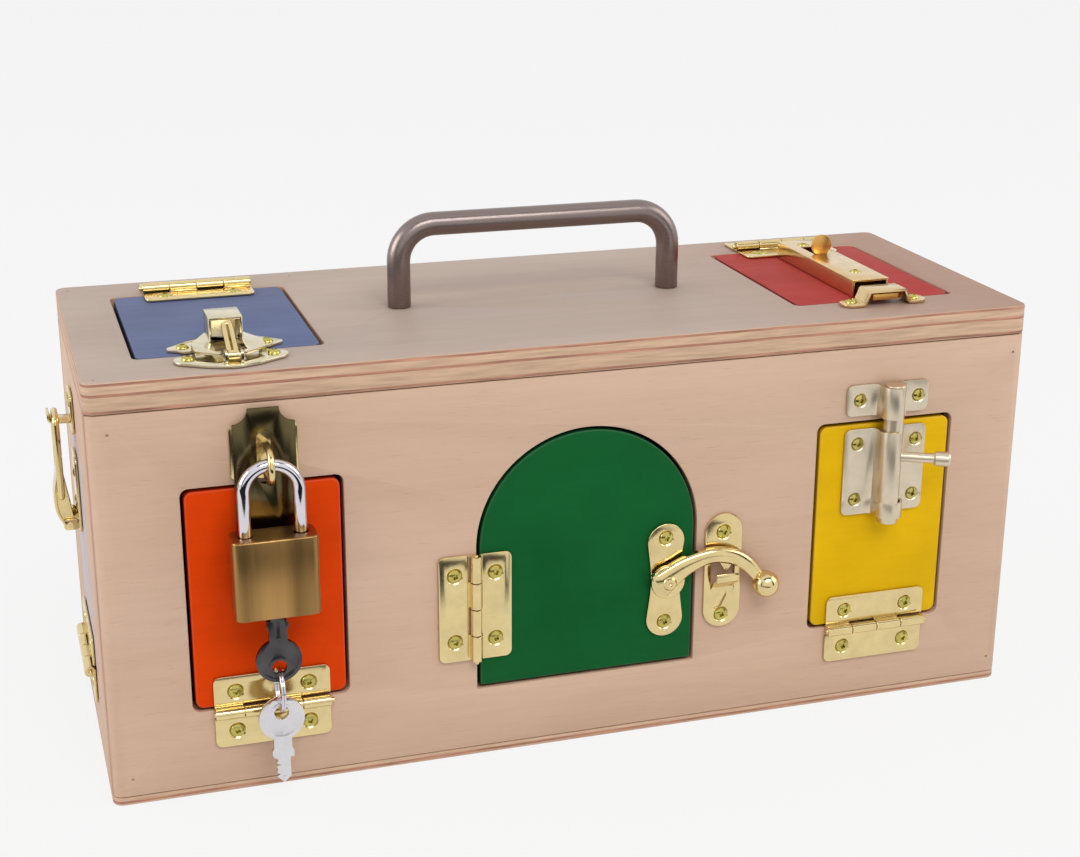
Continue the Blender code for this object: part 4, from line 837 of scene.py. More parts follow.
def hinge_leaf(own_first, length, outline, drop, radius, thickness, spots, slots=(), lift=0):
    """One leaf with its rolled knuckles. Local X is the pin, and the leaf reaches along +Y."""
    half = length / 2
    notch = radius + GAP + SEAT
    low = drop + lift
    top = low + thickness
    pitch = length / KNUCKLE_COUNT
    starts = [index * pitch - half for index in range(KNUCKLE_COUNT)]
    reliefs = []
    for start in starts:
        left = start - (OVERRUN if start == starts[0] else 0)
        right = start + pitch + (OVERRUN if start == starts[-1] else 0)
        reliefs.append(slab(rectangle(left, right, -OVERRUN, notch), low - OVERRUN, top + OVERRUN))
    leaf = eased(cut(slab(outline, low, top), *reliefs, *slots), LEAF_EDGE)
    if spots:
        leaf = with_screws(leaf, top, spots)
    knuckles = []
    for start in starts[0 if own_first else 1::2]:
        ends = (start + JOINT_LINE / 2, start + pitch - JOINT_LINE / 2)
        knuckle = rolled(radius, thickness, notch + SEAT, *ends, lift)
        knuckle = eased(knuckle, LEAF_EDGE * KNUCKLE_EASE_SHARE, 1, 60)
        knuckles.append(shifted(knuckle, 0, 0, drop + radius))
    return gathered(leaf, *knuckles)


def leaf_outline(length, width):
    half = length / 2
    points = [(-half, 0), (half, 0)]
    points += arc(half - LEAF_CORNER, width - LEAF_CORNER, LEAF_CORNER, 0, 90, CORNER)
    return points + arc(-half + LEAF_CORNER, width - LEAF_CORNER, LEAF_CORNER, 90, 180, CORNER)


def hinge_pin(length, radius, proud):
    """A pin along X with a blunt foot and a domed head that stands proud."""
    half = length / 2
    profile = [(0, -half - GAP), (radius * PIN_FOOT_SHARE, -half - GAP), (radius, -half),
               (radius, half + proud - SEAT), (radius * PIN_CROWN_SHARE, half + proud), (0, half + proud)]
    return moved(turned(profile, PIN_STEPS), ALONG_X)


def build_hinges():
    spots = both_sides(HINGE_SCREW_SPACING / 2, HINGE_SCREW_OFFSET)
    outline = leaf_outline(HINGE_LENGTH, LEAF_WIDTH)
    sizes = (HINGE_LENGTH, outline, -KNUCKLE_RADIUS, KNUCKLE_RADIUS, LEAF_THICKNESS, spots)
    door_leaf = hinge_leaf(True, *sizes)
    frame_leaf = moved(hinge_leaf(False, *sizes), MIRROR_Y)
    pin = hinge_pin(HINGE_LENGTH, PIN_RADIUS, PIN_PROUD)
    for name, seat in hinge_seats().items():
        start = name + "_hinge_"
        for look, mesh, body, node in (("door_plate", door_leaf, name + "_door", "door_leaf"),
                                       ("frame_plate", frame_leaf, "box", "frame_leaf"),
                                       ("rod", pin, "box", "pin")):
            show(start + look, mesh.copy(), seat, body, "brass", start + node)


# Carrying handle
HANDLE_LOW, HANDLE_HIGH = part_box("carry_handle")
HANDLE_RADIUS = HANDLE_HIGH.y
HANDLE_HALF = HANDLE_HIGH.x - HANDLE_RADIUS
HANDLE_BEND = 0.014
HANDLE_EASE_SHARE = 0.7
HANDLE_SCREW_HOLE = 0.0022


def build_handle():
    inner = HANDLE_HALF - HANDLE_BEND
    bend_z = HANDLE_HIGH.z - HANDLE_RADIUS - HANDLE_BEND
    path = [(-HANDLE_HALF, HANDLE_LOW.z)]
    path += arc(-inner, bend_z, HANDLE_BEND, 180, 90, 2 * CORNER)
    path += arc(inner, bend_z, HANDLE_BEND, 90, 0, 2 * CORNER)
    path += [(HANDLE_HALF, HANDLE_LOW.z)]
    bar = wire([(x, 0, z) for x, z in path], HANDLE_RADIUS, THICK_WIRE_STEPS)
    bar = eased(bar, EDGE_EASE * HANDLE_EASE_SHARE, 2, 60)
    show("handle_bar", bar, FACING_UP, "box", "handle_steel", "carry_handle")
    for side in ("left", "right"):
        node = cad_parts["handle_screw_" + side]
        node.data.materials.clear()
        node.data.materials.append(finish_named("nickel"))


# Hasp, staple and padlock
HASP_X = -0.1200
HASP_AXIS_Z = 0.0980
STRAP_WIDTH = 0.022
STRAP_REACH = 0.049
STRAP_THICKNESS = 0.0012
STRAP_NOTCH = 0.0055
STRAP_LIFT = 0.0016
STRAP_SLOT_WIDTH = 0.0056
STRAP_SLOT_LENGTH = 0.0192
STRAP_SLOT_CENTRE = 0.0308
HASP_LEAF_DROP = 0.019
HASP_KNUCKLE_RADIUS = 0.0016
HASP_PIN_RADIUS = 0.0007
HASP_SCREW_OFFSET = 0.0110
HASP_SCREW_SPACING = 0.0130
STAPLE_WIRE = 0.0012
STAPLE_HALF_SPAN = 0.0058
STAPLE_PROUD = 0.0182
STAPLE_PLATE_WIDTH = 0.0240
STAPLE_PLATE_LOW = 0.0228
STAPLE_PLATE_HIGH = 0.0432
LOCK_LOW, LOCK_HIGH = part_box("padlock_body")
LOCK_PLANE = (LOCK_LOW.y + LOCK_HIGH.y) / 2
LOCK_CORNER = 0.0026
LOCK_BRIM = 0.0006
SHACKLE_LOW, SHACKLE_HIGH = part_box("padlock_shackle")
SHACKLE_WIRE = 0.0023
SHACKLE_HALF_SPAN = 0.0097
SHACKLE_LONG_LEG = 0.020
SHACKLE_SHORT_LEG = 0.0065
PLUG_RADIUS = 0.0042
PLUG_DEPTH = 0.020
KEY_THICKNESS = 0.0018
KEY_BLADE_WIDTH = 0.0050
KEY_NECK_WIDTH = 0.0078
KEY_NECK_LENGTH = 0.0072
KEY_BOW_RADIUS = 0.0082
KEY_LENGTH = 0.0255
KEY_BOW_DROP = 0.0186
KEY_HOLE_RADIUS = 0.0027
KEY_HOLE_OFFSET = 0.0025
KEY_RIM = 0.0013
KEY_RIM_RISE = 0.00025
KEY_GROOVE = 0.0006
KEY_CUT_SHARES = (0.5, 1.1, 0.3, 0.9)
KEY_EYE_SHARE = 0.8
KEY_EASE_SHARE = 0.6
RING_LOW, RING_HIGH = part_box("key_ring")
RING_WIRE = 0.0008


def strap_outline():
    half = STRAP_WIDTH / 2
    points = [(-half, 0), (half, 0)]
    points += arc(half, STRAP_REACH, STRAP_NOTCH, 270, 180, CORNER)
    return points + arc(-half, STRAP_REACH, STRAP_NOTCH, 360, 270, CORNER)


def build_hasp():
    pin_rise = -HASP_KNUCKLE_RADIUS
    surface = pin_rise - GAP
    seat = at((HASP_X, -HALF_DEPTH + surface, HASP_AXIS_Z), FACING_FRONT)
    low = surface + STRAP_LIFT
    half = STRAP_SLOT_WIDTH / 2
    ends = (STRAP_SLOT_CENTRE - STRAP_SLOT_LENGTH / 2, STRAP_SLOT_CENTRE + STRAP_SLOT_LENGTH / 2)
    slot = block(half, ends, (low - OVERRUN, low + STRAP_THICKNESS + OVERRUN), half - GAP)
    strap = hinge_leaf(True, STRAP_WIDTH, strap_outline(), pin_rise, HASP_KNUCKLE_RADIUS, STRAP_THICKNESS, [],
                       [slot], STRAP_LIFT - GAP)
    # The strap and the door leaf take brass darkened to near black: a painted dark reflection
    show("hasp_strap_plate", strap, seat, "hasp_strap", "brass_dark_reflection", "hasp_strap")
    spots = both_sides(HASP_SCREW_SPACING / 2, HASP_SCREW_OFFSET)
    leaf = hinge_leaf(False, STRAP_WIDTH, leaf_outline(STRAP_WIDTH, HASP_LEAF_DROP), pin_rise,
                      HASP_KNUCKLE_RADIUS, LEAF_THICKNESS, spots)
    leaf = moved(leaf, MIRROR_Y)
    show("hasp_door_plate", leaf, seat, "orange_door", "brass_dark_reflection", "hasp_door_leaf")
    pin = hinge_pin(STRAP_WIDTH, HASP_PIN_RADIUS, GAP)
    show("hasp_rod", pin, seat, "orange_door", "brass", "hasp_pin")

    base = at((HASP_X, -HALF_DEPTH, HASP_AXIS_Z), FACING_FRONT)
    plate = block(STAPLE_PLATE_WIDTH / 2, (STAPLE_PLATE_LOW, STAPLE_PLATE_HIGH), (GAP, GAP + LEAF_THICKNESS),
                  LEAF_CORNER)
    crest = STAPLE_PROUD - STAPLE_WIRE - STAPLE_HALF_SPAN
    path = [(-STAPLE_HALF_SPAN, GAP)]
    path += arc(0, crest, STAPLE_HALF_SPAN, 180, 0, ROUND)
    path += [(STAPLE_HALF_SPAN, GAP)]
    bow = wire([(0, STRAP_SLOT_CENTRE + y, z) for y, z in path], STAPLE_WIRE)
    staple = gathered(eased(plate, LEAF_EDGE), bow)
    show("hasp_staple_loop", staple, base, "box", "brass", "hasp_staple")


def key_shape():
    """A flat key: the bow's centre is at zero and the blade points along +Y."""
    half = KEY_THICKNESS / 2
    bow = slab(circle(KEY_BOW_RADIUS, 2 * FINE), -half, half)
    top = KEY_BOW_RADIUS + KEY_NECK_LENGTH
    wide = KEY_NECK_WIDTH / 2
    narrow = wide - KEY_RIM / 2
    neck = [(-narrow, 0), (narrow, 0), (narrow, top - KEY_RIM * 3), (wide, top - KEY_RIM * 2),
            (wide, top - KEY_RIM), (narrow, top), (-wide, top), (-wide, top - KEY_RIM * 2),
            (-narrow, top - KEY_RIM * 3)]
    blade = KEY_BLADE_WIDTH / 2
    teeth = [(-blade, 0), (blade, 0)]
    pitch = (KEY_LENGTH - top - blade) / len(KEY_CUT_SHARES)
    for index, share in enumerate(KEY_CUT_SHARES):
        place = top + pitch * (index + 0.5)
        teeth += [(blade, place - pitch / 3), (blade - share * KEY_RIM, place), (blade, place + pitch / 3)]
    teeth += [(blade, KEY_LENGTH - blade), (0, KEY_LENGTH), (-blade, KEY_LENGTH - blade)]
    hole = shifted(rod(KEY_HOLE_RADIUS, -half - OVERRUN, half + OVERRUN), 0, -KEY_HOLE_OFFSET)
    dish = []
    for flip in (TURN_OVER, FACING_UP):
        face = rod(KEY_BOW_RADIUS - KEY_RIM, half - KEY_RIM_RISE, half + OVERRUN, FINE)
        eye = rod(KEY_HOLE_RADIUS + KEY_RIM * KEY_EYE_SHARE, half - OVERRUN, half + 2 * OVERRUN)
        face = cut(face, shifted(eye, 0, -KEY_HOLE_OFFSET))
        groove = block(KEY_GROOVE, (KEY_BOW_RADIUS + KEY_RIM, KEY_LENGTH - blade),
                       (half - KEY_RIM_RISE, half + OVERRUN))
        dish += [moved(face, flip), moved(groove, flip)]
    key = joined(bow, slab(neck, -half, half), slab(teeth, -half, half))
    return eased(cut(key, hole, *dish), LEAF_EDGE * KEY_EASE_SHARE, 2, 50)


def build_padlock():
    foot = LOCK_LOW.z
    height = LOCK_HIGH.z - foot
    spring = SHACKLE_HIGH.z - SHACKLE_WIRE - SHACKLE_HALF_SPAN
    path = [(-SHACKLE_HALF_SPAN, SHACKLE_LOW.z + GAP)]
    path += arc(0, spring, SHACKLE_HALF_SPAN, 180, 0, FINE)
    path += [(SHACKLE_HALF_SPAN, LOCK_HIGH.z - SHACKLE_SHORT_LEG)]
    bow = eased(wire([(x, 0, z) for x, z in path], SHACKLE_WIRE, THICK_WIRE_STEPS), THIN_EASE, 2, 60)
    seat = at((HASP_X, LOCK_PLANE, 0))
    show("padlock_bow", bow, seat, "padlock_shackle", "chrome", "padlock_shackle")

    deep = (LOCK_HIGH.y - LOCK_LOW.y) / 2
    body = block((LOCK_HIGH.x - LOCK_LOW.x) / 2, (-deep, deep), (0, height), LOCK_CORNER)
    body = eased(body, LOCK_BRIM, 3, 50)
    cutters = []
    for side, leg in ((-1, SHACKLE_LONG_LEG), (1, SHACKLE_SHORT_LEG)):
        bore = SHACKLE_WIRE + GAP
        collar = turned([(0, height - leg - SEAT), (bore, height - leg - SEAT), (bore, height - GAP),
                         (bore + GAP, height + SEAT), (0, height + SEAT)])
        cutters.append(shifted(collar, side * SHACKLE_HALF_SPAN))
    cutters.append(rod(PLUG_RADIUS, -OVERRUN, PLUG_DEPTH + GAP, FINE))
    body = cut(body, *cutters)
    seat = at((HASP_X, LOCK_PLANE, foot))
    show("padlock_case", body, seat, "padlock_body", "lock_brass", "padlock_body")
    deep = KEY_THICKNESS / 2 + GAP
    slot = block(KEY_BLADE_WIDTH / 2 + GAP, (-deep, deep), (-OVERRUN, KEY_LENGTH - KEY_BOW_DROP + OVERRUN))
    plug = cut(eased(rod(PLUG_RADIUS - GAP, 0, PLUG_DEPTH, FINE), LEAF_EDGE), slot)
    show("padlock_core", plug, seat, "lock_key", "brass", "padlock_plug")

    key = moved(key_shape(), STAND_UP)
    seat = at((HASP_X, LOCK_PLANE, foot - KEY_BOW_DROP))
    # The key in the lock is the spare key's nickel darkened to near black: a painted dark reflection
    show("key_in_lock", key.copy(), seat, "lock_key", "dark_nickel", "lock_key")
    radius = (RING_HIGH.z - RING_LOW.z) / 2 - RING_WIRE
    middle = (RING_HIGH.z + RING_LOW.z) / 2
    path = [(0, y, z) for y, z in arc(0, middle, radius, 90, 450, 2 * FINE)[:-1]]
    half = RING_WIRE / 2
    turns = [shifted(wire(path, half, RING_WIRE_STEPS, True), x) for x in (half, -half)]
    seat = at((HASP_X, LOCK_PLANE, 0))
    show("split_ring", gathered(*turns), seat, "key_ring", "chrome", "key_ring")
    seat = at((HASP_X, LOCK_PLANE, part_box("spare_key")[0].z + KEY_LENGTH), TURN_OVER)
    show("hanging_key", key, seat, "spare_key", "nickel", "spare_key")


# Swing hook on the green door
HOOK_PIVOT_X = 0.0308
HOOK_PIVOT_Z = 0.0635
PLATE_THICKNESS = 0.0010
PLATE_TOP = GAP + PLATE_THICKNESS
PIVOT_PLATE_HALF = 0.0074
PIVOT_PLATE_TOP = 0.0152
PIVOT_PLATE_LOW = -0.0163
PIVOT_PLATE_WAIST = 0.0058
PIVOT_SCREW_TOP = 0.0168
PIVOT_SCREW_LOW = -0.0177
PIVOT_EASE_SHARE = 1.6
RIVET_RADIUS = 0.0016
RIVET_HEAD = 0.0030
RIVET_RISE = 0.0016
RIVET_DIMPLE = 0.0009
ARM_RISE = 0.0028
ARM_THICKNESS = 0.0026
ARM_EYE = 0.0068
ARM_REACH = 0.0395
ARM_CREST = 0.0118
ARM_CREST_SHARE = 0.49
ARM_DOME_SHARE = 0.35
ARM_CROWN_SHARE = 0.45
ARM_EYE_SHARE = 0.75
ARM_DROP = -0.0050
ARM_WIDTH = 0.0062
ROOT_SHARE = 0.42
ROOT_FLARE = 0.72
TIP_SHARE = 0.70
TIP_TAPER = 0.22
LUG_X = 0.0236
LUG_TIP = 0.0020
LUG_WIDTH = 0.0080
BALL_RADIUS = 0.0053
CATCH_X = 0.0236
CATCH_HALF = 0.0076
CATCH_TOP = 0.0166
CATCH_LOW = -0.0152
CATCH_TONGUE_TOP = 0.0062
CATCH_TONGUE_LOW = -0.0075
CATCH_TONGUE_HALF = 0.0048
CREASE_HALF = 0.0013
CREASE_LENGTH = 0.0080
CREASE_DEPTH = 0.0007
CREASE_ROUND_SHARE = 0.9
CREASE_TURN = -28
CATCH_EASE_SHARE = 1.3


def waisted_plate(half, low, high, waist):
    """Two round ends joined by a plate that draws in at its middle."""
    side = curve_through([(half, low), (waist, (low + high) / 2), (half, high)], CORNER)[1:-1]
    points = arc(0, low, half, 180, 360, ROUND) + side + arc(0, high, half, 0, 180, ROUND)
    return points + [(-x, y) for x, y in side[::-1]]


def domed_arm(centre, widths, low, high, crown_share):
    """An arm with a rounded back: rings of a low arch are set along a curved line."""
    bm = bmesh.new()
    rings = []
    for index, point in enumerate(centre):
        before = Vector(centre[max(index - 1, 0)])
        after = Vector(centre[min(index + 1, len(centre) - 1)])
        along = (after - before).normalized()
        across = Vector((-along.y, along.x))
        ring = []
        for step in range(CORNER * 2 + 1):
            lean = math.pi * step / (CORNER * 2)
            side = math.cos(lean) * widths[index] / 2
            height = low + (high - low) * (crown_share + (1 - crown_share) * math.sin(lean))
            ring.append(bm.verts.new((*(Vector(point) + across * side), height)))
        for side in (-1, 1):
            ring.append(bm.verts.new((*(Vector(point) + across * side * widths[index] / 2), low)))
        rings.append(ring)
    for first, second in zip(rings, rings[1:]):
        for a, b, c, d in zip(first, first[1:] + first[:1], second[1:] + second[:1], second):
            bm.faces.new((a, b, c, d))
    bm.faces.new(rings[0])
    bm.faces.new(rings[-1])
    return to_mesh(bm)


def hook_arm_shape(low, high):
    """The bent arm with its round eye, the lug under its crest and the ball at its end."""
    centre = curve_through([(-ARM_EYE * 0.55, -ARM_EYE * 0.20), (ARM_REACH * 0.20, ARM_CREST * 0.52),
                            (ARM_REACH * ARM_CREST_SHARE, ARM_CREST - ARM_WIDTH / 2),
                            (ARM_REACH * 0.78, ARM_CREST * 0.42), (ARM_REACH, ARM_DROP)], CORNER)
    widths = []
    for step in range(len(centre)):
        share = step / (len(centre) - 1)
        flare = max(0, 1 - share / ROOT_SHARE) ** 1.5
        taper = max(0, (share - TIP_SHARE) / (1 - TIP_SHARE))
        widths.append(ARM_WIDTH * (1 + ROOT_FLARE * flare - TIP_TAPER * taper))
    arm = domed_arm(centre, widths, low, high + ARM_THICKNESS * ARM_DOME_SHARE, ARM_CROWN_SHARE)
    eye = eased(rod(ARM_EYE, low, low + ARM_THICKNESS * ARM_EYE_SHARE, FINE), EDGE_EASE, 4, 60)
    shoulder = ARM_CREST * 0.50
    chin = LUG_TIP + LEAF_THICKNESS
    lug = [(LUG_X + LUG_WIDTH * 0.75, shoulder), (LUG_X + LUG_WIDTH * 0.38, shoulder),
           (LUG_X + LUG_WIDTH * 0.14, chin), (LUG_X, LUG_TIP), (LUG_X - LUG_WIDTH * 0.14, chin),
           (LUG_X - LUG_WIDTH * 0.38, ARM_CREST * 0.52), (LUG_X - LUG_WIDTH * 0.75, ARM_CREST * 0.60)]
    lug = eased(slab(lug, low, high - EDGE_EASE), HALF_EASE, 3)
    arm = cut(joined(arm, eye, lug), rod(RIVET_RADIUS + GAP, low - OVERRUN, high + OVERRUN))
    bm = bmesh.new()
    bmesh.ops.create_uvsphere(bm, u_segments=FINE, v_segments=ROUND, radius=BALL_RADIUS)
    ball = shifted(to_mesh(bm), ARM_REACH + GAP, ARM_DROP, BALL_RADIUS + 2 * GAP)
    return gathered(eased(arm, THIN_EASE, 2, 50), ball)


def build_swing_hook():
    seat = at((HOOK_PIVOT_X, -HALF_DEPTH, HOOK_PIVOT_Z), FACING_FRONT)
    low = ARM_RISE
    high = low + ARM_THICKNESS
    outline = waisted_plate(PIVOT_PLATE_HALF, PIVOT_PLATE_LOW, PIVOT_PLATE_TOP, PIVOT_PLATE_WAIST)
    plate = eased(slab(outline, GAP, PLATE_TOP), LEAF_EDGE * PIVOT_EASE_SHARE, 3)
    plate = with_screws(plate, PLATE_TOP, [(0, PIVOT_SCREW_TOP), (0, PIVOT_SCREW_LOW)])
    foot = GAP + SEAT
    crown = high + RIVET_RISE
    rivet = turned([(0, foot), (RIVET_HEAD, foot), (RIVET_HEAD, low - GAP), (RIVET_RADIUS, low - GAP),
                    (RIVET_RADIUS, high + GAP), (RIVET_HEAD, high + GAP),
                    (RIVET_HEAD * 0.92, high + RIVET_RISE * 0.6), (RIVET_HEAD * 0.70, crown),
                    (RIVET_DIMPLE, crown), (RIVET_DIMPLE * 0.4, high + RIVET_RISE * 0.6),
                    (0, high + RIVET_RISE * 0.5)])
    show("hook_pivot_base", gathered(plate, rivet), seat, "green_door", "brass", "hook_pivot_plate")
    show("hook_lever", hook_arm_shape(low, high), seat, "hook_arm", "brass", "hook_arm")

    seat = at((HOOK_PIVOT_X + CATCH_X, -HALF_DEPTH, HOOK_PIVOT_Z), FACING_FRONT)
    outline = waisted_plate(CATCH_HALF, CATCH_LOW, CATCH_TOP, CATCH_HALF)
    punched = block(CATCH_TONGUE_HALF, (CATCH_TONGUE_LOW + LEAF_THICKNESS, CATCH_TONGUE_TOP),
                    (-OVERRUN, PLATE_TOP + OVERRUN))
    crease = block(CREASE_HALF, (-CREASE_LENGTH / 2, CREASE_LENGTH / 2),
                   (PLATE_TOP - CREASE_DEPTH, PLATE_TOP + OVERRUN), CREASE_HALF * CREASE_ROUND_SHARE)
    crease = shifted(moved(crease, turn(CREASE_TURN, "Z")), -CATCH_TONGUE_HALF * 0.15, CATCH_LOW * 0.76)
    plate = eased(cut(slab(outline, GAP, PLATE_TOP), punched, crease), LEAF_EDGE * CATCH_EASE_SHARE, 2)
    plate = with_screws(plate, PLATE_TOP, [(0, CATCH_TOP), (0, CATCH_LOW - CATCH_HALF * 0.33)])
    top = high + GAP + PLATE_THICKNESS / 2
    line = curve_through([(CATCH_TONGUE_LOW, GAP + PLATE_THICKNESS / 2),
                          (CATCH_TONGUE_LOW * 0.7, PLATE_TOP * 1.3),
                          (LUG_TIP - ARM_THICKNESS * 1.6, top * 0.90), (LUG_TIP - ARM_THICKNESS * 0.8, top),
                          (LUG_TIP - ARM_THICKNESS * 0.35, top - GAP)], CORNER)
    half = CATCH_TONGUE_HALF - GAP
    tongue = eased(along_x(sheet(line, PLATE_THICKNESS), -half, half), LEAF_EDGE, 2, 50)
    show("hook_catch_base", gathered(plate, tongue), seat, "box", "brass", "hook_catch_plate")


# Barrel bolt on the yellow door
BOLT_X = 0.1215
BOLT_AXIS_RISE = 0.0053
BOLT_RADIUS = 0.0040
BARREL_MIDDLE = 0.0050
BARREL_SHEET = 0.0009
BOLT_FOOT_Z = 0.0783
BOLT_TOP_Z = 0.1345
HOUSING_LOW_Z = 0.0810
HOUSING_HIGH_Z = 0.1162
HOUSING_LEFT = 0.0180
HOUSING_RIGHT = 0.0165
KEEPER_LOW_Z = 0.1215
KEEPER_HIGH_Z = 0.1340
BARREL_FROM = 190
BARREL_TO = -38
SLOT_FROM = -6
SLOT_TO = 78
RING_SHARE = 0.18
BARREL_FOLD = 0.0020
BOLT_SCREW_SPREAD = 0.0124
BOLT_SCREW_INSET = 0.0062
KNOB_Z = 0.1055
KNOB_ANGLE = 28.0
KNOB_STEM = 0.0020
KNOB_HEAD = 0.0029
KNOB_REACH = 0.0225
KNOB_HEAD_LENGTH = 0.0060


def clasp(low, high, ring_high, spots):
    """Sheet metal rolled from a left flange over the rod to a right flange, slotted above ring_high."""
    face = -BOLT_AXIS_RISE + GAP + BARREL_SHEET / 2
    left_foot = [(-HOUSING_LEFT, face), (-BARREL_MIDDLE - BARREL_FOLD, face),
                 (-BARREL_MIDDLE - GAP, face + BARREL_FOLD / 2)]
    right_foot = [(BARREL_MIDDLE - GAP, face + GAP), (BARREL_MIDDLE + BARREL_FOLD, face),
                  (HOUSING_RIGHT, face)]
    over = left_foot + arc(0, 0, BARREL_MIDDLE, BARREL_FROM, SLOT_TO, ROUND)
    under = arc(0, 0, BARREL_MIDDLE, SLOT_FROM, BARREL_TO, CORNER) + right_foot
    whole = left_foot + arc(0, 0, BARREL_MIDDLE, BARREL_FROM, BARREL_TO, ROUND) + right_foot
    shells = []
    for line, start, end in ((whole, low, ring_high), (over, ring_high, high), (under, ring_high, high)):
        if end > start:
            shells.append(along_y(sheet(line, BARREL_SHEET), start, end))
    reach = 2 * BARREL_MIDDLE
    around = rectangle(-2 * HOUSING_LEFT, 2 * HOUSING_RIGHT, low - OVERRUN, high + OVERRUN)
    around = slab(around, -reach, reach)
    kept = slab(rectangle(-HOUSING_LEFT, HOUSING_RIGHT, low, high, LEAF_CORNER), -2 * reach, 2 * reach)
    body = eased(cut(joined(*shells), cut(around, kept)), LEAF_EDGE, 2, 50)
    return with_screws(body, face + BARREL_SHEET / 2, spots, SMALL_SCREW_RADIUS)


def build_barrel_bolt():
    seat = at((BOLT_X, -HALF_DEPTH - BOLT_AXIS_RISE, 0), FACING_FRONT)
    spots = [(x, z) for x in (-BOLT_SCREW_SPREAD, BOLT_SCREW_SPREAD)
             for z in (HOUSING_LOW_Z + BOLT_SCREW_INSET, HOUSING_HIGH_Z - BOLT_SCREW_INSET)]
    ring_high = HOUSING_LOW_Z + (HOUSING_HIGH_Z - HOUSING_LOW_Z) * RING_SHARE
    housing = clasp(HOUSING_LOW_Z, HOUSING_HIGH_Z, ring_high, spots)
    show("bolt_barrel", housing, seat, "yellow_door", "nickel_brass", "bolt_housing")
    spots = both_sides(BOLT_SCREW_SPREAD, (KEEPER_LOW_Z + KEEPER_HIGH_Z) / 2)
    keeper = clasp(KEEPER_LOW_Z, KEEPER_HIGH_Z, KEEPER_LOW_Z, spots)
    show("bolt_catch", keeper, seat, "box", "nickel_brass", "bolt_keeper")
    bolt = eased(along_y(circle(BOLT_RADIUS, FINE), BOLT_FOOT_Z, BOLT_TOP_Z), SOFT_EASE, 3, 60)
    show("bolt_bar", bolt, seat, "bolt", "nickel_brass", "bolt_rod")
    foot = BOLT_RADIUS - GAP
    head = KNOB_REACH - KNOB_HEAD_LENGTH
    knob = turned([(0, foot), (KNOB_STEM, foot), (KNOB_STEM, head - HALF_EASE), (KNOB_STEM + HALF_EASE, head),
                   (KNOB_HEAD - HALF_EASE, head), (KNOB_HEAD, head + HALF_EASE),
                   (KNOB_HEAD, KNOB_REACH - EDGE_EASE), (KNOB_HEAD - EDGE_EASE, KNOB_REACH),
                   (0, KNOB_REACH)], FINE)
    seat = seat @ at((0, KNOB_Z, 0), turn(90 - KNOB_ANGLE, "Y"))
    show("bolt_handle", knob, seat, "bolt", "nickel_brass", "bolt_knob")


# Spring catch on the blue door
CATCH_CENTRE_X = -0.1275
SHIELD_HALF = 0.0205
SHIELD_BACK_Y = -0.0270
SHIELD_FRONT_Y = -0.0600
SHIELD_RISE = 0.0030
SHIELD_BODY_HALF = 0.0125
SHIELD_WINDOW_HALF = 0.0055
SHIELD_WINDOW_FRONT = -0.0545
SHIELD_SHOULDER_Y = -0.0520
SHIELD_SLOT_HALF = 0.0038
WING_BACK_Y = -0.0330
WING_FRONT_Y = -0.0425
WING_TIP = 0.0011
CAP_RISE = 0.0115
CAP_HALF = 0.0060
CAP_BACK_Y = -0.0290
CAP_FRONT_Y = -0.0420
BASE_HALF = 0.0200
BASE_BACK_Y = -0.0450
BASE_FRONT_Y = -0.0648
BASE_WING_Y = -0.0530
BASE_TONGUE_HALF = 0.0090
CATCH_SCREW_X = 0.0150
SPRING_AXIS_Y = -0.0590
SPRING_AXIS_RISE = 0.0034
SPRING_WIRE = 0.0009
SPRING_HALF = 0.0020
SPRING_TOP_Y = -0.0445
SPRING_TOP_RISE = 0.0108
SPRING_PIN_SHARE = 1.6


def catch_base():
    """The winged base plate, with the pin and the two ears that carry the sprung hook."""
    lobe = BASE_HALF - LEAF_CORNER * 2
    outline = curve_through([(-BASE_TONGUE_HALF, BASE_FRONT_Y + LEAF_CORNER), (0, BASE_FRONT_Y),
                             (BASE_TONGUE_HALF, BASE_FRONT_Y + LEAF_CORNER)], CORNER)
    outline += arc(lobe, BASE_WING_Y, 2 * LEAF_CORNER, -70, 70, ROUND)
    outline += [(BASE_TONGUE_HALF, BASE_BACK_Y), (-BASE_TONGUE_HALF, BASE_BACK_Y)]
    outline += arc(-lobe, BASE_WING_Y, 2 * LEAF_CORNER, 110, 250, ROUND)
    plate = eased(slab(outline, GAP, PLATE_TOP), LEAF_EDGE, 2)
    heads = pan_heads(both_sides(lobe, BASE_WING_Y), PLATE_TOP)
    reach = SPRING_HALF * SPRING_PIN_SHARE
    pin = shifted(moved(rod(SPRING_WIRE, -reach, reach), ALONG_X), 0, SPRING_AXIS_Y, SPRING_AXIS_RISE)
    ears = []
    half = 3 * SPRING_WIRE
    outline = rectangle(SPRING_AXIS_Y - half, SPRING_AXIS_Y + half, PLATE_TOP - SEAT,
                        SPRING_AXIS_RISE + 2 * SPRING_WIRE, SPRING_WIRE)
    for side in (-1, 1):
        near = side * (SPRING_HALF + GAP)
        ears.append(along_x(outline, *sorted((near, near + side * SPRING_WIRE))))
    return gathered(plate, *heads, pin, *ears)


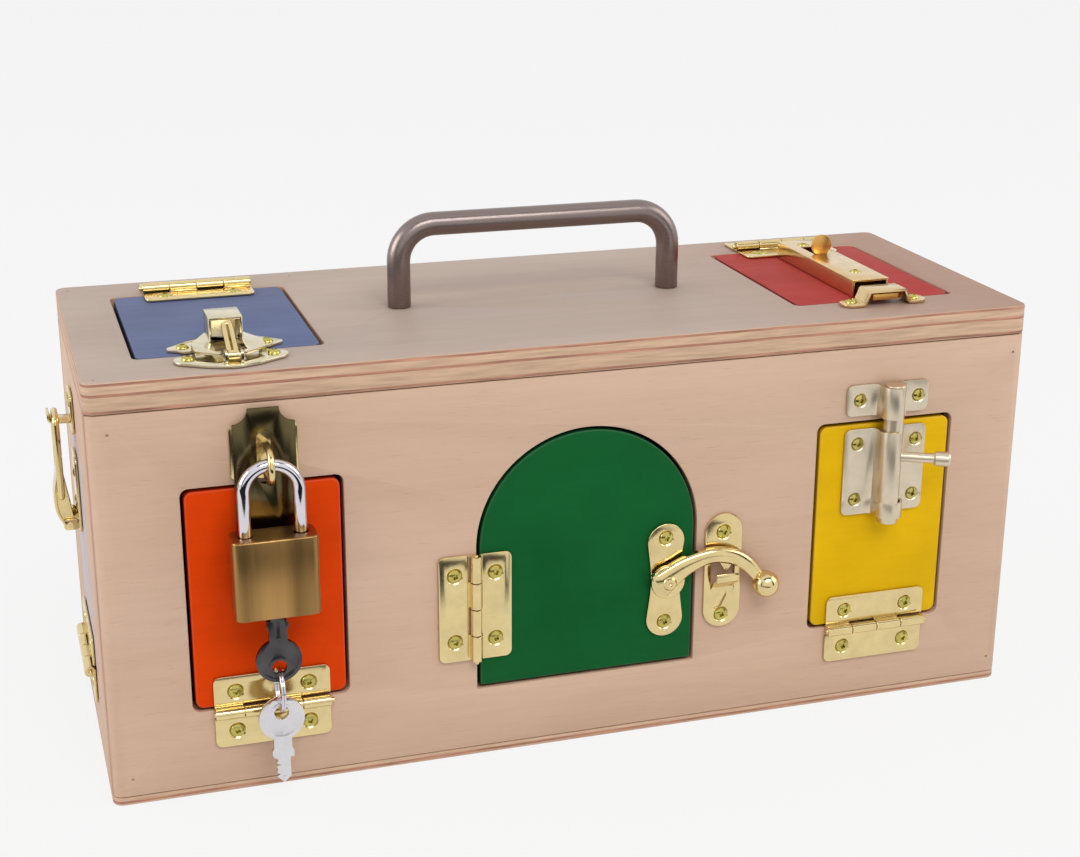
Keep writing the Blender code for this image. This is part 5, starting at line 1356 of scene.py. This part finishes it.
def hairpin_hook():
    """A hairpin of spring wire that leans from its pin to the shield's cap."""
    slope = Vector((SPRING_TOP_Y - SPRING_AXIS_Y, SPRING_TOP_RISE - SPRING_AXIS_RISE))
    bend = SPRING_HALF - SPRING_WIRE
    rail = slope.length - bend
    slope.normalize()
    path = []
    for x, along in [(-bend, 0)] + arc(0, rail, bend, 180, 0, ROUND) + [(bend, 0)]:
        lift = bend * math.sin(math.pi * along / rail) if along < rail else 0
        path.append(Vector((x, slope.x * along - slope.y * lift, slope.y * along + slope.x * lift)))
    steps = 2 * CORNER
    left = [path[0].lerp(path[1], step / steps) for step in range(steps)]
    right = [path[-2].lerp(path[-1], (step + 1) / steps) for step in range(steps)]
    hairpin = wire(left + path[1:-1] + right, SPRING_WIRE, SPRING_WIRE_STEPS)
    hub = moved(rod(SPRING_WIRE * 2, -SPRING_HALF + SEAT, SPRING_HALF - SEAT), ALONG_X)
    return gathered(hairpin, hub)


def catch_shield():
    """The winged plate with its hood and its raised cap, open to the front for the sprung hook."""
    middle = (WING_BACK_Y + WING_FRONT_Y) / 2
    shoulder = SHIELD_BACK_Y - LEAF_CORNER
    wings = [(-SHIELD_HALF, middle - WING_TIP), (-CATCH_SCREW_X, WING_FRONT_Y), (CATCH_SCREW_X, WING_FRONT_Y),
             (SHIELD_HALF, middle - WING_TIP), (SHIELD_HALF, middle + WING_TIP), (SHIELD_BODY_HALF, shoulder),
             (CAP_HALF, SHIELD_BACK_Y), (-CAP_HALF, SHIELD_BACK_Y), (-SHIELD_BODY_HALF, shoulder),
             (-SHIELD_HALF, middle + WING_TIP)]
    nose = SHIELD_SLOT_HALF * 1.3
    hood_top = SHIELD_RISE + PLATE_THICKNESS
    hood = [(-SHIELD_BODY_HALF, SHIELD_SHOULDER_Y), (-nose, SHIELD_FRONT_Y + LEAF_CORNER),
            (nose, SHIELD_FRONT_Y + LEAF_CORNER), (SHIELD_BODY_HALF, SHIELD_SHOULDER_Y),
            (SHIELD_BODY_HALF, WING_FRONT_Y), (CAP_HALF, shoulder), (-CAP_HALF, shoulder),
            (-SHIELD_BODY_HALF, WING_FRONT_Y)]
    before = SHIELD_FRONT_Y - OVERRUN
    inside = (-OVERRUN, SHIELD_RISE)
    under = block(SHIELD_BODY_HALF - PLATE_THICKNESS, (before, shoulder - LEAF_CORNER), inside)
    front_open = block(SHIELD_HALF, (before, WING_FRONT_Y - GAP), inside)
    hood = cut(slab(hood, PLATE_TOP - SEAT, hood_top), under, front_open)
    cap = along_y(rectangle(-CAP_HALF, CAP_HALF, SHIELD_RISE, CAP_RISE + PLATE_THICKNESS), CAP_FRONT_Y,
                  CAP_BACK_Y)
    inner = CAP_HALF - PLATE_THICKNESS
    hollow = along_y(rectangle(-inner, inner, PLATE_TOP, CAP_RISE), CAP_FRONT_Y - OVERRUN,
                     CAP_BACK_Y - PLATE_THICKNESS)
    cut_heights = (PLATE_TOP, hood_top + OVERRUN)
    window = block(SHIELD_WINDOW_HALF, (SHIELD_WINDOW_FRONT, CAP_FRONT_Y + OVERRUN), cut_heights)
    slot = block(SHIELD_SLOT_HALF, (before, SHIELD_WINDOW_FRONT + OVERRUN), cut_heights)
    shield = cut(joined(slab(wings, GAP, PLATE_TOP), hood, cap), hollow, window, slot)
    heads = pan_heads(both_sides(CATCH_SCREW_X, middle), PLATE_TOP)
    return gathered(eased(shield, LEAF_EDGE, 2, 40), *heads)


def build_spring_catch():
    seat = at((CATCH_CENTRE_X, 0, BOX_HEIGHT))
    show("catch_base", catch_base(), seat, "box", "pale_brass", "blue_latch_base")
    axis = seat @ at((0, SPRING_AXIS_Y, SPRING_AXIS_RISE))
    show("catch_hairpin", hairpin_hook(), axis, "blue_hook", "brass", "blue_latch_hook")
    show("catch_shield", catch_shield(), seat, "blue_door", "pale_brass", "blue_latch_shield")


# Flat slide bolt on the red door
SLIDE_X = 0.1262
COVER_HALF = 0.0078
COVER_RISE = 0.0072
COVER_WALL = 0.0010
COVER_BACK_Y = 0.0320
COVER_FRONT_Y = -0.0385
COVER_FOLD = 0.0005
SLIDE_HALF = 0.0058
SLIDE_THICKNESS = 0.0024
SLIDE_RISE = 0.0022
SLIDE_BACK_Y = 0.0170
SLIDE_FRONT_Y = -0.0520
SLIDE_CORNER_SHARE = 0.4
TAB_Y = 0.0060
TAB_TRAVEL = 0.0130
TAB_HALF = 0.0044
TAB_STEM_HALF = 0.0026
TAB_RISE = 0.0152
TAB_THICKNESS = 0.0011
COVER_SCREW_BACK = 0.0227
COVER_SCREW_FRONT = -0.0250
BRIDGE_BACK_Y = -0.0445
BRIDGE_FRONT_Y = -0.0535
BRIDGE_HALF = 0.0085
BRIDGE_RISE = 0.0064
BRIDGE_WALL = 0.0010
BRIDGE_EAR = 0.0178
BRIDGE_SCREW = 0.0134


def slide_cover():
    """A folded channel, closed at its back, with a slot for the thumb tab."""
    cover = along_y(rectangle(-COVER_HALF, COVER_HALF, GAP, COVER_RISE), COVER_FRONT_Y, COVER_BACK_Y)
    inner = COVER_HALF - COVER_WALL
    hollow = along_y(rectangle(-inner, inner, -OVERRUN, COVER_RISE - COVER_WALL), COVER_FRONT_Y - OVERRUN,
                     COVER_BACK_Y - COVER_WALL)
    slot = block(TAB_STEM_HALF + GAP, (TAB_Y - GAP, TAB_Y + TAB_TRAVEL + TAB_THICKNESS),
                 (COVER_RISE - COVER_WALL - OVERRUN, COVER_RISE + OVERRUN), GAP)
    cover = eased(cut(cover, hollow, slot), COVER_FOLD, 3, 50)
    spots = [(0, COVER_SCREW_FRONT), (0, COVER_SCREW_BACK + LEAF_THICKNESS)]
    return with_screws(cover, COVER_RISE, spots, SMALL_SCREW_RADIUS)


def slide_bridge():
    """A bridge of bent strip with round ears."""
    low = GAP + BRIDGE_WALL / 2
    crest = BRIDGE_RISE - BRIDGE_WALL / 2
    line = [(-BRIDGE_EAR, low), (-BRIDGE_HALF - 2 * BRIDGE_WALL, low)]
    line += curve_through([(-BRIDGE_HALF - BRIDGE_WALL, low + GAP), (-BRIDGE_HALF, (low + crest) / 2),
                           (-BRIDGE_HALF + BRIDGE_WALL, crest)], CORNER)
    line += [(-x, z) for x, z in line[::-1]]
    strap = along_y(sheet(line, BRIDGE_WALL), BRIDGE_FRONT_Y, BRIDGE_BACK_Y)
    around = block(BRIDGE_EAR * 2, (BRIDGE_FRONT_Y - OVERRUN, BRIDGE_BACK_Y + OVERRUN),
                   (-OVERRUN, low + OVERRUN))
    radius = (BRIDGE_BACK_Y - BRIDGE_FRONT_Y) / 2 - GAP
    kept = block(BRIDGE_EAR, (BRIDGE_FRONT_Y, BRIDGE_BACK_Y), (-2 * OVERRUN, low + 2 * OVERRUN), radius,
                 ROUND)
    bridge = eased(cut(strap, cut(around, kept)), LEAF_EDGE, 2, 45)
    spots = both_sides(BRIDGE_SCREW, (BRIDGE_FRONT_Y + BRIDGE_BACK_Y) / 2)
    return gathered(bridge, *pan_heads(spots, GAP + BRIDGE_WALL))


def build_slide_bolt():
    seat = at((SLIDE_X, 0, BOX_HEIGHT))
    show("slide_cover", slide_cover(), seat, "red_door", "warm_brass", "red_bolt_cover")
    bar = block(SLIDE_HALF, (SLIDE_FRONT_Y, SLIDE_BACK_Y), (SLIDE_RISE, SLIDE_RISE + SLIDE_THICKNESS),
                LEAF_CORNER * SLIDE_CORNER_SHARE)
    lean = math.degrees(math.acos(TAB_STEM_HALF / TAB_HALF))
    outline = [(-TAB_STEM_HALF, SLIDE_RISE + SEAT), (TAB_STEM_HALF, SLIDE_RISE + SEAT)]
    outline += arc(0, TAB_RISE - TAB_HALF, TAB_HALF, -lean, 180 + lean, FINE)
    tab = along_y(outline, TAB_Y, TAB_Y + TAB_THICKNESS)
    slide = gathered(eased(bar, LEAF_EDGE, 2), eased(tab, LEAF_EDGE, 2, 50))
    show("slide_bar", slide, seat, "red_slide", "amber_brass", "red_bolt_slide")
    show("slide_keeper", slide_bridge(), seat, "box", "warm_brass", "red_bolt_keeper")


# Toggle latch on the left door
TOGGLE_HALF = 0.0080
TOGGLE_BASE_LOW = 0.0835
TOGGLE_BASE_HIGH = 0.1135
TOGGLE_AXIS_Z = 0.0868
TOGGLE_AXIS_RISE = 0.0046
TOGGLE_PIN = 0.0011
LEVER_HALF = 0.0046
LEVER_TOP_Z = 0.1120
LEVER_BOW = 0.0088
LEVER_THICKNESS = 0.0015
LEVER_RISE_RUN = 0.004
LEVER_FALL_RUN = 0.008
LEVER_EASE_SHARE = 0.35
CHEEK_SHARE = 0.8
LOOP_AXIS_Z = 0.0975
LOOP_AXIS_RISE = 0.0068
LOOP_WIRE = 0.0013
LOOP_HALF = 0.0062
LOOP_TOP_Z = 0.1290
HOOK_PLATE_LOW = 0.1222
HOOK_PLATE_HIGH = 0.1380
HOOK_HALF = 0.0045
SPRING_COILS = 4
SPRING_COIL_RADIUS = 0.0016
SPRING_COIL_WIRE = 0.00035
SPRING_LENGTH_SHARE = 0.9


def toggle_foot():
    """The base plate with two ears, the lever's pin and the spring that lifts the lever."""
    plate = block(TOGGLE_HALF, (TOGGLE_BASE_LOW, TOGGLE_BASE_HIGH), (GAP, PLATE_TOP), LEAF_CORNER)
    ear_half = 2 * TOGGLE_PIN
    spots = [(0, (TOGGLE_BASE_HIGH + LOOP_AXIS_Z) / 2)] + both_sides(HOOK_HALF, TOGGLE_AXIS_Z + 3 * ear_half)
    plate = with_screws(eased(plate, LEAF_EDGE, 2), PLATE_TOP, spots, TINY_SCREW_RADIUS)
    outline = rectangle(TOGGLE_AXIS_Z - ear_half, TOGGLE_AXIS_Z + ear_half, PLATE_TOP - SEAT,
                        TOGGLE_AXIS_RISE + ear_half, EDGE_EASE * 2)
    ear_low = LEVER_HALF + GAP
    ears = [eased(along_x(outline, low, low + PLATE_THICKNESS), LEAF_EDGE, 2)
            for low in (-ear_low - PLATE_THICKNESS, ear_low)]
    reach = ear_low + PLATE_THICKNESS + GAP
    pin = shifted(moved(rod(TOGGLE_PIN, -reach, reach), ALONG_X), 0, TOGGLE_AXIS_Z, TOGGLE_AXIS_RISE)
    coils = []
    steps = SPRING_COILS * 2 * CORNER
    middle_y = TOGGLE_AXIS_Z + ear_half * 1.6
    middle_z = PLATE_TOP + SPRING_COIL_RADIUS * 1.15
    for step in range(steps + 1):
        angle = math.tau * SPRING_COILS * step / steps
        along = LEVER_HALF * SPRING_LENGTH_SHARE * (step / steps - 0.5)
        coils.append((along, middle_y + SPRING_COIL_RADIUS * math.cos(angle),
                      middle_z + SPRING_COIL_RADIUS * math.sin(angle)))
    return gathered(plate, pin, wire(coils, SPRING_COIL_WIRE, COIL_WIRE_STEPS), *ears)


def toggle_arm():
    """The bowed lever with its two cheeks."""
    bow = curve_through([(TOGGLE_AXIS_Z - TOGGLE_PIN * 2, TOGGLE_AXIS_RISE + GAP),
                         (TOGGLE_AXIS_Z + LEVER_RISE_RUN, LEVER_BOW * 0.92), (LOOP_AXIS_Z, LEVER_BOW),
                         (LOOP_AXIS_Z + LEVER_FALL_RUN, LEVER_BOW * 0.86),
                         (LEVER_TOP_Z, LOOP_AXIS_RISE * 0.98)], CORNER)
    strip = along_x(sheet(bow, LEVER_THICKNESS), -LEVER_HALF, LEVER_HALF)
    strip = eased(strip, LEVER_THICKNESS * LEVER_EASE_SHARE, 3, 50)
    outline = [(y, z - GAP) for y, z in bow[::2]] + [(LOOP_AXIS_Z, LOOP_AXIS_RISE - 2 * LOOP_WIRE),
                                                    (TOGGLE_AXIS_Z, TOGGLE_AXIS_RISE - 2 * TOGGLE_PIN)]
    cheeks = []
    for side in (-1, 1):
        faces = sorted((side * (LEVER_HALF - LEVER_THICKNESS * CHEEK_SHARE), side * LEVER_HALF))
        cheeks.append(eased(along_x(outline[::-1], *faces), LEAF_EDGE, 1))
    return gathered(strip, *cheeks)


def toggle_hook():
    """The plate on the frame with the lip that holds the loop."""
    plate = block(TOGGLE_HALF, (HOOK_PLATE_LOW, HOOK_PLATE_HIGH), (GAP, PLATE_TOP), LEAF_CORNER)
    spots = both_sides(HOOK_HALF, (LOOP_TOP_Z + HOOK_PLATE_HIGH) / 2 + EDGE_EASE)
    plate = with_screws(eased(plate, LEAF_EDGE, 2), PLATE_TOP, spots, TINY_SCREW_RADIUS)
    top = LOOP_AXIS_RISE + LOOP_WIRE + GAP + PLATE_THICKNESS / 2
    under = LOOP_TOP_Z - LOOP_WIRE - PLATE_THICKNESS
    lip = curve_through([(under, PLATE_TOP), (under + GAP, top * 0.7), (under + PLATE_THICKNESS, top),
                         (LOOP_TOP_Z + LOOP_WIRE, top + GAP)], CORNER)
    lip = eased(along_x(sheet(lip, PLATE_THICKNESS), -HOOK_HALF, HOOK_HALF), LEAF_EDGE, 2, 50)
    return gathered(plate, lip)


def build_toggle_latch():
    seat = at((-HALF_LENGTH, 0, 0), FACING_LEFT)
    show("toggle_foot", toggle_foot(), seat, "left_door", "brass", "toggle_base")
    show("toggle_arm", toggle_arm(), seat, "toggle_lever", "brass", "toggle_lever")
    path = rectangle(-LOOP_HALF, LOOP_HALF, 0, LOOP_TOP_Z - LOOP_AXIS_Z, 2 * LOOP_WIRE)
    loop = wire([(x, y, 0) for x, y in path], LOOP_WIRE, closed=True)
    show("toggle_bail", loop, seat @ at((0, LOOP_AXIS_Z, LOOP_AXIS_RISE)), "toggle_loop", "brass",
         "toggle_loop")
    show("toggle_hook", toggle_hook(), seat, "box", "brass", "toggle_hook_plate")


# Sizes and colours that a user would change
def tint(name, description, default):
    return bpy.props.FloatVectorProperty(name=name, description=description, default=default,
                                         subtype="COLOR", min=0, max=1)


class LatchBoxLooks(bpy.types.PropertyGroup):
    orange: tint("Orange door", "Paint of the front left door", (0.670, 0.050, 0.0010))
    green: tint("Green door", "Paint of the arched door", (0.0060, 0.100, 0.0240))
    yellow: tint("Yellow door", "Paint of the front right door", (0.720, 0.430, 0.0045))
    blue: tint("Blue door", "Paint of the top left door", (0.125, 0.153, 0.270))
    red: tint("Red door", "Paint of the top right door", (0.415, 0.052, 0.046))
    brass: tint("Brass", "Hinges and most latches", (0.780, 0.620, 0.310))
    lock_brass: tint("Lock body", "Brushed brass of the padlock", (0.440, 0.255, 0.090))
    steel: tint("Handle steel", "Brushed steel of the carrying handle", (0.265, 0.212, 0.198))


def angle_setting(name, description, degrees):
    return bpy.props.FloatProperty(name=name, description=description, unit="ROTATION",
                                   default=math.radians(degrees))


def power_setting(name, description, default):
    return bpy.props.FloatProperty(name=name, description=description, unit="POWER", default=default, min=0)


class LatchBoxStage(bpy.types.PropertyGroup):
    focal_length: bpy.props.FloatProperty(name="Focal length", default=61.4066, min=1,
                                          description="Lens of the camera, in millimetres")
    azimuth: angle_setting("Azimuth", "Turn of the camera about the box", -17.5326)
    elevation: angle_setting("Elevation", "Height of the camera as an angle", 18.7397)
    roll: angle_setting("Roll", "Tilt of the camera about its view", 0.2187)
    distance: bpy.props.FloatProperty(name="Distance", unit="LENGTH", default=0.74434,
                                      description="From the camera to the point it looks at")
    target: bpy.props.FloatVectorProperty(name="Target", subtype="TRANSLATION", default=(0.00205, 0, 0.10473),
                                          description="The point that the camera looks at")
    room_light: bpy.props.FloatProperty(name="Room light", default=0.58, min=0,
                                        description="Brightness of the room")
    key_power: power_setting("Key lamp", "Power of the large front lamp", 25)
    side_power: power_setting("Side lamp", "Power of the lamp on the left", 16)
    fill_power: power_setting("Fill lamp", "Power of the lamp on the right", 9)


def looks():
    return bpy.context.scene.latch_box_looks


def sheet_of(name, grain_axis, thick_axis, inner, thickness, ply_shares, *tones):
    """Plywood whose brown plies are given as shares of its thickness, from its inner face out."""
    plies = [(thickness * low, thickness * high) for low, high in ply_shares]
    return plywood(name, grain_axis, thick_axis, inner, plies, *tones)


# Where a sheet's brown plies lie, and how much the top sheet grows darker and warmer to the right
WALL_PLY_SHARES = ((0.20, 0.40), (0.60, 0.80))
TOP_PLY_SHARES = ((0.03, 0.12), (0.54, 0.63), (0.87, 0.95))
BOTTOM_PLY_SHARES = ((0.30, 0.62),)
TOP_RIGHT_WARMTH = 0.85

# Painted reflections: brightness of the broad stripes across the lock's face, from its left edge to its right
LOCK_REFLECTION_BANDS = ((0.0, 0.95), (0.12, 0.62), (0.36, 1.15), (0.58, 1.10), (0.72, 0.55), (0.88, 0.78), (1.0, 0.85))

MAKERS = {
    "bottom_ply": lambda: sheet_of("Bottom plywood", X, Z, 0, BOTTOM_THICKNESS, BOTTOM_PLY_SHARES),
    "top_ply": lambda: sheet_of("Top plywood", X, Z, BOX_HEIGHT - TOP_THICKNESS, TOP_THICKNESS,
                                TOP_PLY_SHARES, BIRCH_GREY, BIRCH_GREY_WARM, TOP_RIGHT_WARMTH),
    "wall_ply": lambda: sheet_of("Front and back plywood", X, Y, HALF_DEPTH - WALL, WALL, WALL_PLY_SHARES),
    "side_ply": lambda: sheet_of("Side plywood", Y, X, HALF_LENGTH - WALL, WALL, WALL_PLY_SHARES),
    "side_door_ply": lambda: sheet_of("Side door plywood", Y, X, HALF_LENGTH - WALL, WALL, WALL_PLY_SHARES,
                                      DOOR_LILAC, shade(DOOR_LILAC, 0.86)),
    "orange": lambda: painted("Orange paint", looks().orange, X, Y),
    "green": lambda: painted("Green paint", looks().green, X, Y),
    "yellow": lambda: painted("Yellow paint", looks().yellow, X, Y),
    "blue": lambda: painted("Blue paint", looks().blue, X, Z),
    "red": lambda: painted("Red paint", looks().red, X, Z),
    "brass": lambda: polished("Hinge brass", looks().brass, roughness=0.15),
    "pale_brass": lambda: polished("Pale brass", (0.740, 0.660, 0.470), roughness=0.16, waviness=0.16),
    "warm_brass": lambda: polished("Warm brass", (0.760, 0.560, 0.290), roughness=0.17),
    "amber_brass": lambda: polished("Amber brass", (0.720, 0.400, 0.110), roughness=0.26),
    # Brass darkened to near black: a painted dark reflection on the hasp
    "brass_dark_reflection": lambda: polished("Aged brass", (0.140, 0.112, 0.052), roughness=0.20, waviness=0.03),
    "nickel_brass": lambda: polished("Pale satin brass", (0.720, 0.620, 0.470), roughness=0.30,
                                     waviness=0.14),
    "zinc": lambda: polished("Yellow zinc", (0.580, 0.500, 0.140), roughness=0.18, mottle=0.20),
    "lock_brass": lambda: brushed("Brushed brass", looks().lock_brass, Z, roughness=0.32, depth=0.22,
                                  reflection_bands=((LOCK_LOW.x, LOCK_HIGH.x), LOCK_REFLECTION_BANDS)),
    "chrome": lambda: polished("Chrome", (0.700, 0.670, 0.730), roughness=0.06, mottle=0.04, scratch=0.15),
    "nickel": lambda: polished("Nickel", (0.720, 0.700, 0.720), roughness=0.16, mottle=0.06, scratch=0.20),
    # Nickel darkened to near black: a painted dark reflection on the key in the lock
    "dark_nickel": lambda: polished("Dark nickel", (0.100, 0.095, 0.098), roughness=0.20, mottle=0.30,
                                    scratch=0.22, waviness=0.8),
    "handle_steel": lambda: brushed("Brushed steel", looks().steel, X, roughness=0.30, depth=0.20),
}


# Stage
FLOOR_SIZE = 12.0
FLOOR_WHITE = 0.80
BACKGROUND = 0.940
FLOOR_GLOW_SHARE = 0.90
FLOOR_MOTTLE_SHARE = 0.985
CARD_DARK = 0.015
CARD_MOTTLE_SHARE = 1.2
SENSOR_WIDTH = 36
VIEW_RANGE = (0.01, 50)
ROOM_TINT = (1.0, 0.99, 0.98)

# Cards that darken what the metal reflects: name, width and length, middle, tilt about X in degrees
DARK_CARDS = (
    ("floor_card", (1.50, 1.40), (-0.57, -1.02, 0.004), 0),
    ("ceiling_card", (1.60, 0.50), (0.10, -0.75, 1.35), 0),
    ("left_card", (0.40, 0.80), (-1.05, -0.75, 0.40), 90),
    ("right_card", (0.40, 0.80), (0.95, -0.95, 0.40), 90),
)

# Lamps: name, the setting of its power, width and height, place
LAMPS = (
    ("key_lamp", "key_power", (1.5, 1.0), (0.1, -1.6, 1.9)),
    ("side_lamp", "side_power", (1.2, 1.2), (-2.0, 0.1, 0.9)),
    ("fill_lamp", "fill_power", (1.2, 1.2), (1.9, -0.6, 1.1)),
)
LAMP_TARGET = (0, 0, 0.08)


def shown_only_to_reflections(obj):
    for rays in ("camera", "diffuse", "shadow", "transmission"):
        setattr(obj, "visible_" + rays, False)


def plane(name, size, seat, material):
    half_x, half_y = (side / 2 for side in size)
    bm = bmesh.new()
    bm.faces.new([bm.verts.new((x, y, 0)) for x, y in rectangle(-half_x, half_x, -half_y, half_y)])
    mesh = bpy.data.meshes.new(name)
    bm.to_mesh(mesh)
    bm.free()
    mesh.materials.append(material)
    obj = bpy.data.objects.new(name, mesh)
    obj.matrix_world = seat
    bpy.context.scene.collection.objects.link(obj)
    obj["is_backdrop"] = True
    return obj


def floor_finish():
    """A pale floor that the camera and the metal see as the white background, with a soft shadow."""
    finish = Finish(bpy.data.materials.new("Studio floor"))
    grain = finish.noise(finish.place(), scale=3, detail=2)
    white = finish.mix(grain, (FLOOR_WHITE,) * 3, (FLOOR_WHITE * FLOOR_MOTTLE_SHARE,) * 3)
    finish.feed(finish.shader, {"Base Color": white, "Roughness": 0.9, "Specular IOR Level": 0.1})
    glow = finish.node("ShaderNodeEmission", {}, {"Color": (BACKGROUND,) * 3, "Strength": 1})
    share = finish.seen_directly() * FLOOR_GLOW_SHARE
    diffuse = Signal(finish, finish.shader.outputs[0])
    finish.cover(finish.node("ShaderNodeMixShader", {}, {0: share, 1: diffuse, 2: glow}))
    return finish.owner


def card_finish(name, value):
    finish = Finish(bpy.data.materials.new(name))
    mottle = finish.noise(finish.place(), scale=5, detail=2)
    colour = finish.mix(mottle, (value,) * 3, (value * CARD_MOTTLE_SHARE,) * 3)
    return finish.done(Base_Color=colour, Roughness=0.95, Specular_IOR_Level=0.0)


def lamp(name, power, size, place):
    light = bpy.data.lights.new(name, "AREA")
    light.shape = "RECTANGLE"
    light.size, light.size_y = size
    light.energy = power
    obj = bpy.data.objects.new(name, light)
    obj.location = place
    obj.rotation_euler = (Vector(LAMP_TARGET) - Vector(place)).to_track_quat("-Z", "Y").to_euler()
    bpy.context.scene.collection.objects.link(obj)
    obj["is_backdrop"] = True


def light_room(strength):
    """The camera and the metal see the pale background, and everything else is lit by the room."""
    world = bpy.data.worlds.new("Studio room")
    bpy.context.scene.world = world
    finish = Finish(world)
    light = finish.tree.nodes["Background"]
    finish.feed(light, {"Color": ROOM_TINT, "Strength": strength})
    room = Signal(finish, light.outputs[0])
    backdrop = finish.node("ShaderNodeBackground", {}, {"Color": (BACKGROUND,) * 3})
    finish.cover(finish.node("ShaderNodeMixShader", {}, {0: finish.seen_directly(), 1: room, 2: backdrop}))


def place_camera(stage):
    """Turns the camera about its target: azimuth 0 looks along +Y."""
    flat = math.cos(stage.elevation)
    back = Vector((math.sin(stage.azimuth) * flat, -math.cos(stage.azimuth) * flat,
                   math.sin(stage.elevation)))
    right = Vector((0, 0, 1)).cross(back).normalized()
    up = back.cross(right)
    tilt = Matrix.Rotation(stage.roll, 3, back)
    columns = Matrix((tilt @ right, tilt @ up, back)).transposed().to_4x4()
    camera = bpy.data.cameras.new("Camera")
    camera.lens = stage.focal_length
    camera.sensor_fit = "HORIZONTAL"
    camera.sensor_width = SENSOR_WIDTH
    camera.clip_start, camera.clip_end = VIEW_RANGE
    obj = bpy.data.objects.new("Camera", camera)
    obj.matrix_world = Matrix.Translation(Vector(stage.target) + back * stage.distance) @ columns
    bpy.context.scene.collection.objects.link(obj)
    bpy.context.scene.camera = obj


def build_stage():
    scene = bpy.context.scene
    scene.view_settings.view_transform = "Standard"
    stage = scene.latch_box_stage
    plane("floor", (FLOOR_SIZE, FLOOR_SIZE), FACING_UP, floor_finish())
    dark = card_finish("Dark card", CARD_DARK)
    for name, size, place, tilt in DARK_CARDS:
        shown_only_to_reflections(plane(name, size, at(place, turn(tilt, "X")), dark))
    for name, setting, size, place in LAMPS:
        lamp(name, getattr(stage, setting), size, place)
    light_room(stage.room_light)
    place_camera(stage)


class Builds:
    """What the operators share: each runs its own build function."""

    def execute(self, context):
        self.build()
        return {"FINISHED"}


class LATCHBOX_OT_box(Builds, bpy.types.Operator):
    """Build the plywood box with its openings and nails"""
    bl_idname = "latchbox.box"
    bl_label = "Box"
    build = staticmethod(build_box)


class LATCHBOX_OT_doors(Builds, bpy.types.Operator):
    """Build the six doors"""
    bl_idname = "latchbox.doors"
    bl_label = "Doors"
    build = staticmethod(build_doors)


class LATCHBOX_OT_hinges(Builds, bpy.types.Operator):
    """Build the six butt hinges with their pins and screws"""
    bl_idname = "latchbox.hinges"
    bl_label = "Hinges"
    build = staticmethod(build_hinges)


class LATCHBOX_OT_handle(Builds, bpy.types.Operator):
    """Build the bent steel carrying handle and its screws"""
    bl_idname = "latchbox.handle"
    bl_label = "Handle"
    build = staticmethod(build_handle)


class LATCHBOX_OT_hasp(Builds, bpy.types.Operator):
    """Build the hasp of the orange door and its staple"""
    bl_idname = "latchbox.hasp"
    bl_label = "Hasp"
    build = staticmethod(build_hasp)


class LATCHBOX_OT_padlock(Builds, bpy.types.Operator):
    """Build the padlock, its key in the lock, the split ring and the spare key"""
    bl_idname = "latchbox.padlock"
    bl_label = "Padlock and keys"
    build = staticmethod(build_padlock)


class LATCHBOX_OT_swing_hook(Builds, bpy.types.Operator):
    """Build the swing hook of the green door and its catch plate"""
    bl_idname = "latchbox.swing_hook"
    bl_label = "Swing hook"
    build = staticmethod(build_swing_hook)


class LATCHBOX_OT_barrel_bolt(Builds, bpy.types.Operator):
    """Build the barrel bolt of the yellow door"""
    bl_idname = "latchbox.barrel_bolt"
    bl_label = "Barrel bolt"
    build = staticmethod(build_barrel_bolt)


class LATCHBOX_OT_spring_catch(Builds, bpy.types.Operator):
    """Build the spring catch of the blue door"""
    bl_idname = "latchbox.spring_catch"
    bl_label = "Spring catch"
    build = staticmethod(build_spring_catch)


class LATCHBOX_OT_slide_bolt(Builds, bpy.types.Operator):
    """Build the slide bolt of the red door"""
    bl_idname = "latchbox.slide_bolt"
    bl_label = "Slide bolt"
    build = staticmethod(build_slide_bolt)


class LATCHBOX_OT_toggle_latch(Builds, bpy.types.Operator):
    """Build the toggle latch of the left door"""
    bl_idname = "latchbox.toggle_latch"
    bl_label = "Toggle latch"
    build = staticmethod(build_toggle_latch)


class LATCHBOX_OT_stage(Builds, bpy.types.Operator):
    """Set out the floor, the lamps and the camera"""
    bl_idname = "latchbox.stage"
    bl_label = "Stage"
    build = staticmethod(build_stage)


OPERATORS = (LATCHBOX_OT_stage, LATCHBOX_OT_box, LATCHBOX_OT_doors, LATCHBOX_OT_hinges, LATCHBOX_OT_handle,
             LATCHBOX_OT_hasp, LATCHBOX_OT_padlock, LATCHBOX_OT_swing_hook, LATCHBOX_OT_barrel_bolt,
             LATCHBOX_OT_spring_catch, LATCHBOX_OT_slide_bolt, LATCHBOX_OT_toggle_latch)


class LATCHBOX_PT_panel(bpy.types.Panel):
    """The pieces of the latch box, each with its own button"""
    bl_idname = "LATCHBOX_PT_panel"
    bl_label = "Latch box"
    bl_space_type = "VIEW_3D"
    bl_region_type = "UI"
    bl_category = "Latch box"

    def draw(self, context):
        for group in (context.scene.latch_box_looks, context.scene.latch_box_stage):
            for name in group.__annotations__:
                self.layout.prop(group, name)
        for operator in OPERATORS:
            self.layout.operator(operator.bl_idname)


CLASSES = (LatchBoxLooks, LatchBoxStage, *OPERATORS, LATCHBOX_PT_panel)


def register():
    for each in CLASSES:
        bpy.utils.register_class(each)
    bpy.types.Scene.latch_box_looks = bpy.props.PointerProperty(type=LatchBoxLooks)
    bpy.types.Scene.latch_box_stage = bpy.props.PointerProperty(type=LatchBoxStage)


def unregister():
    del bpy.types.Scene.latch_box_stage
    del bpy.types.Scene.latch_box_looks
    for each in reversed(CLASSES):
        bpy.utils.unregister_class(each)


def main():
    register()
    for operator in OPERATORS:
        group, name = operator.bl_idname.split(".")
        getattr(getattr(bpy.ops, group), name)()
    boxes = {"cad": CAD_BOX, "visual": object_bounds()}
    boxes = {name: [list(corner) for corner in box] for name, box in boxes.items()}


if __name__ == "__main__":
    main()
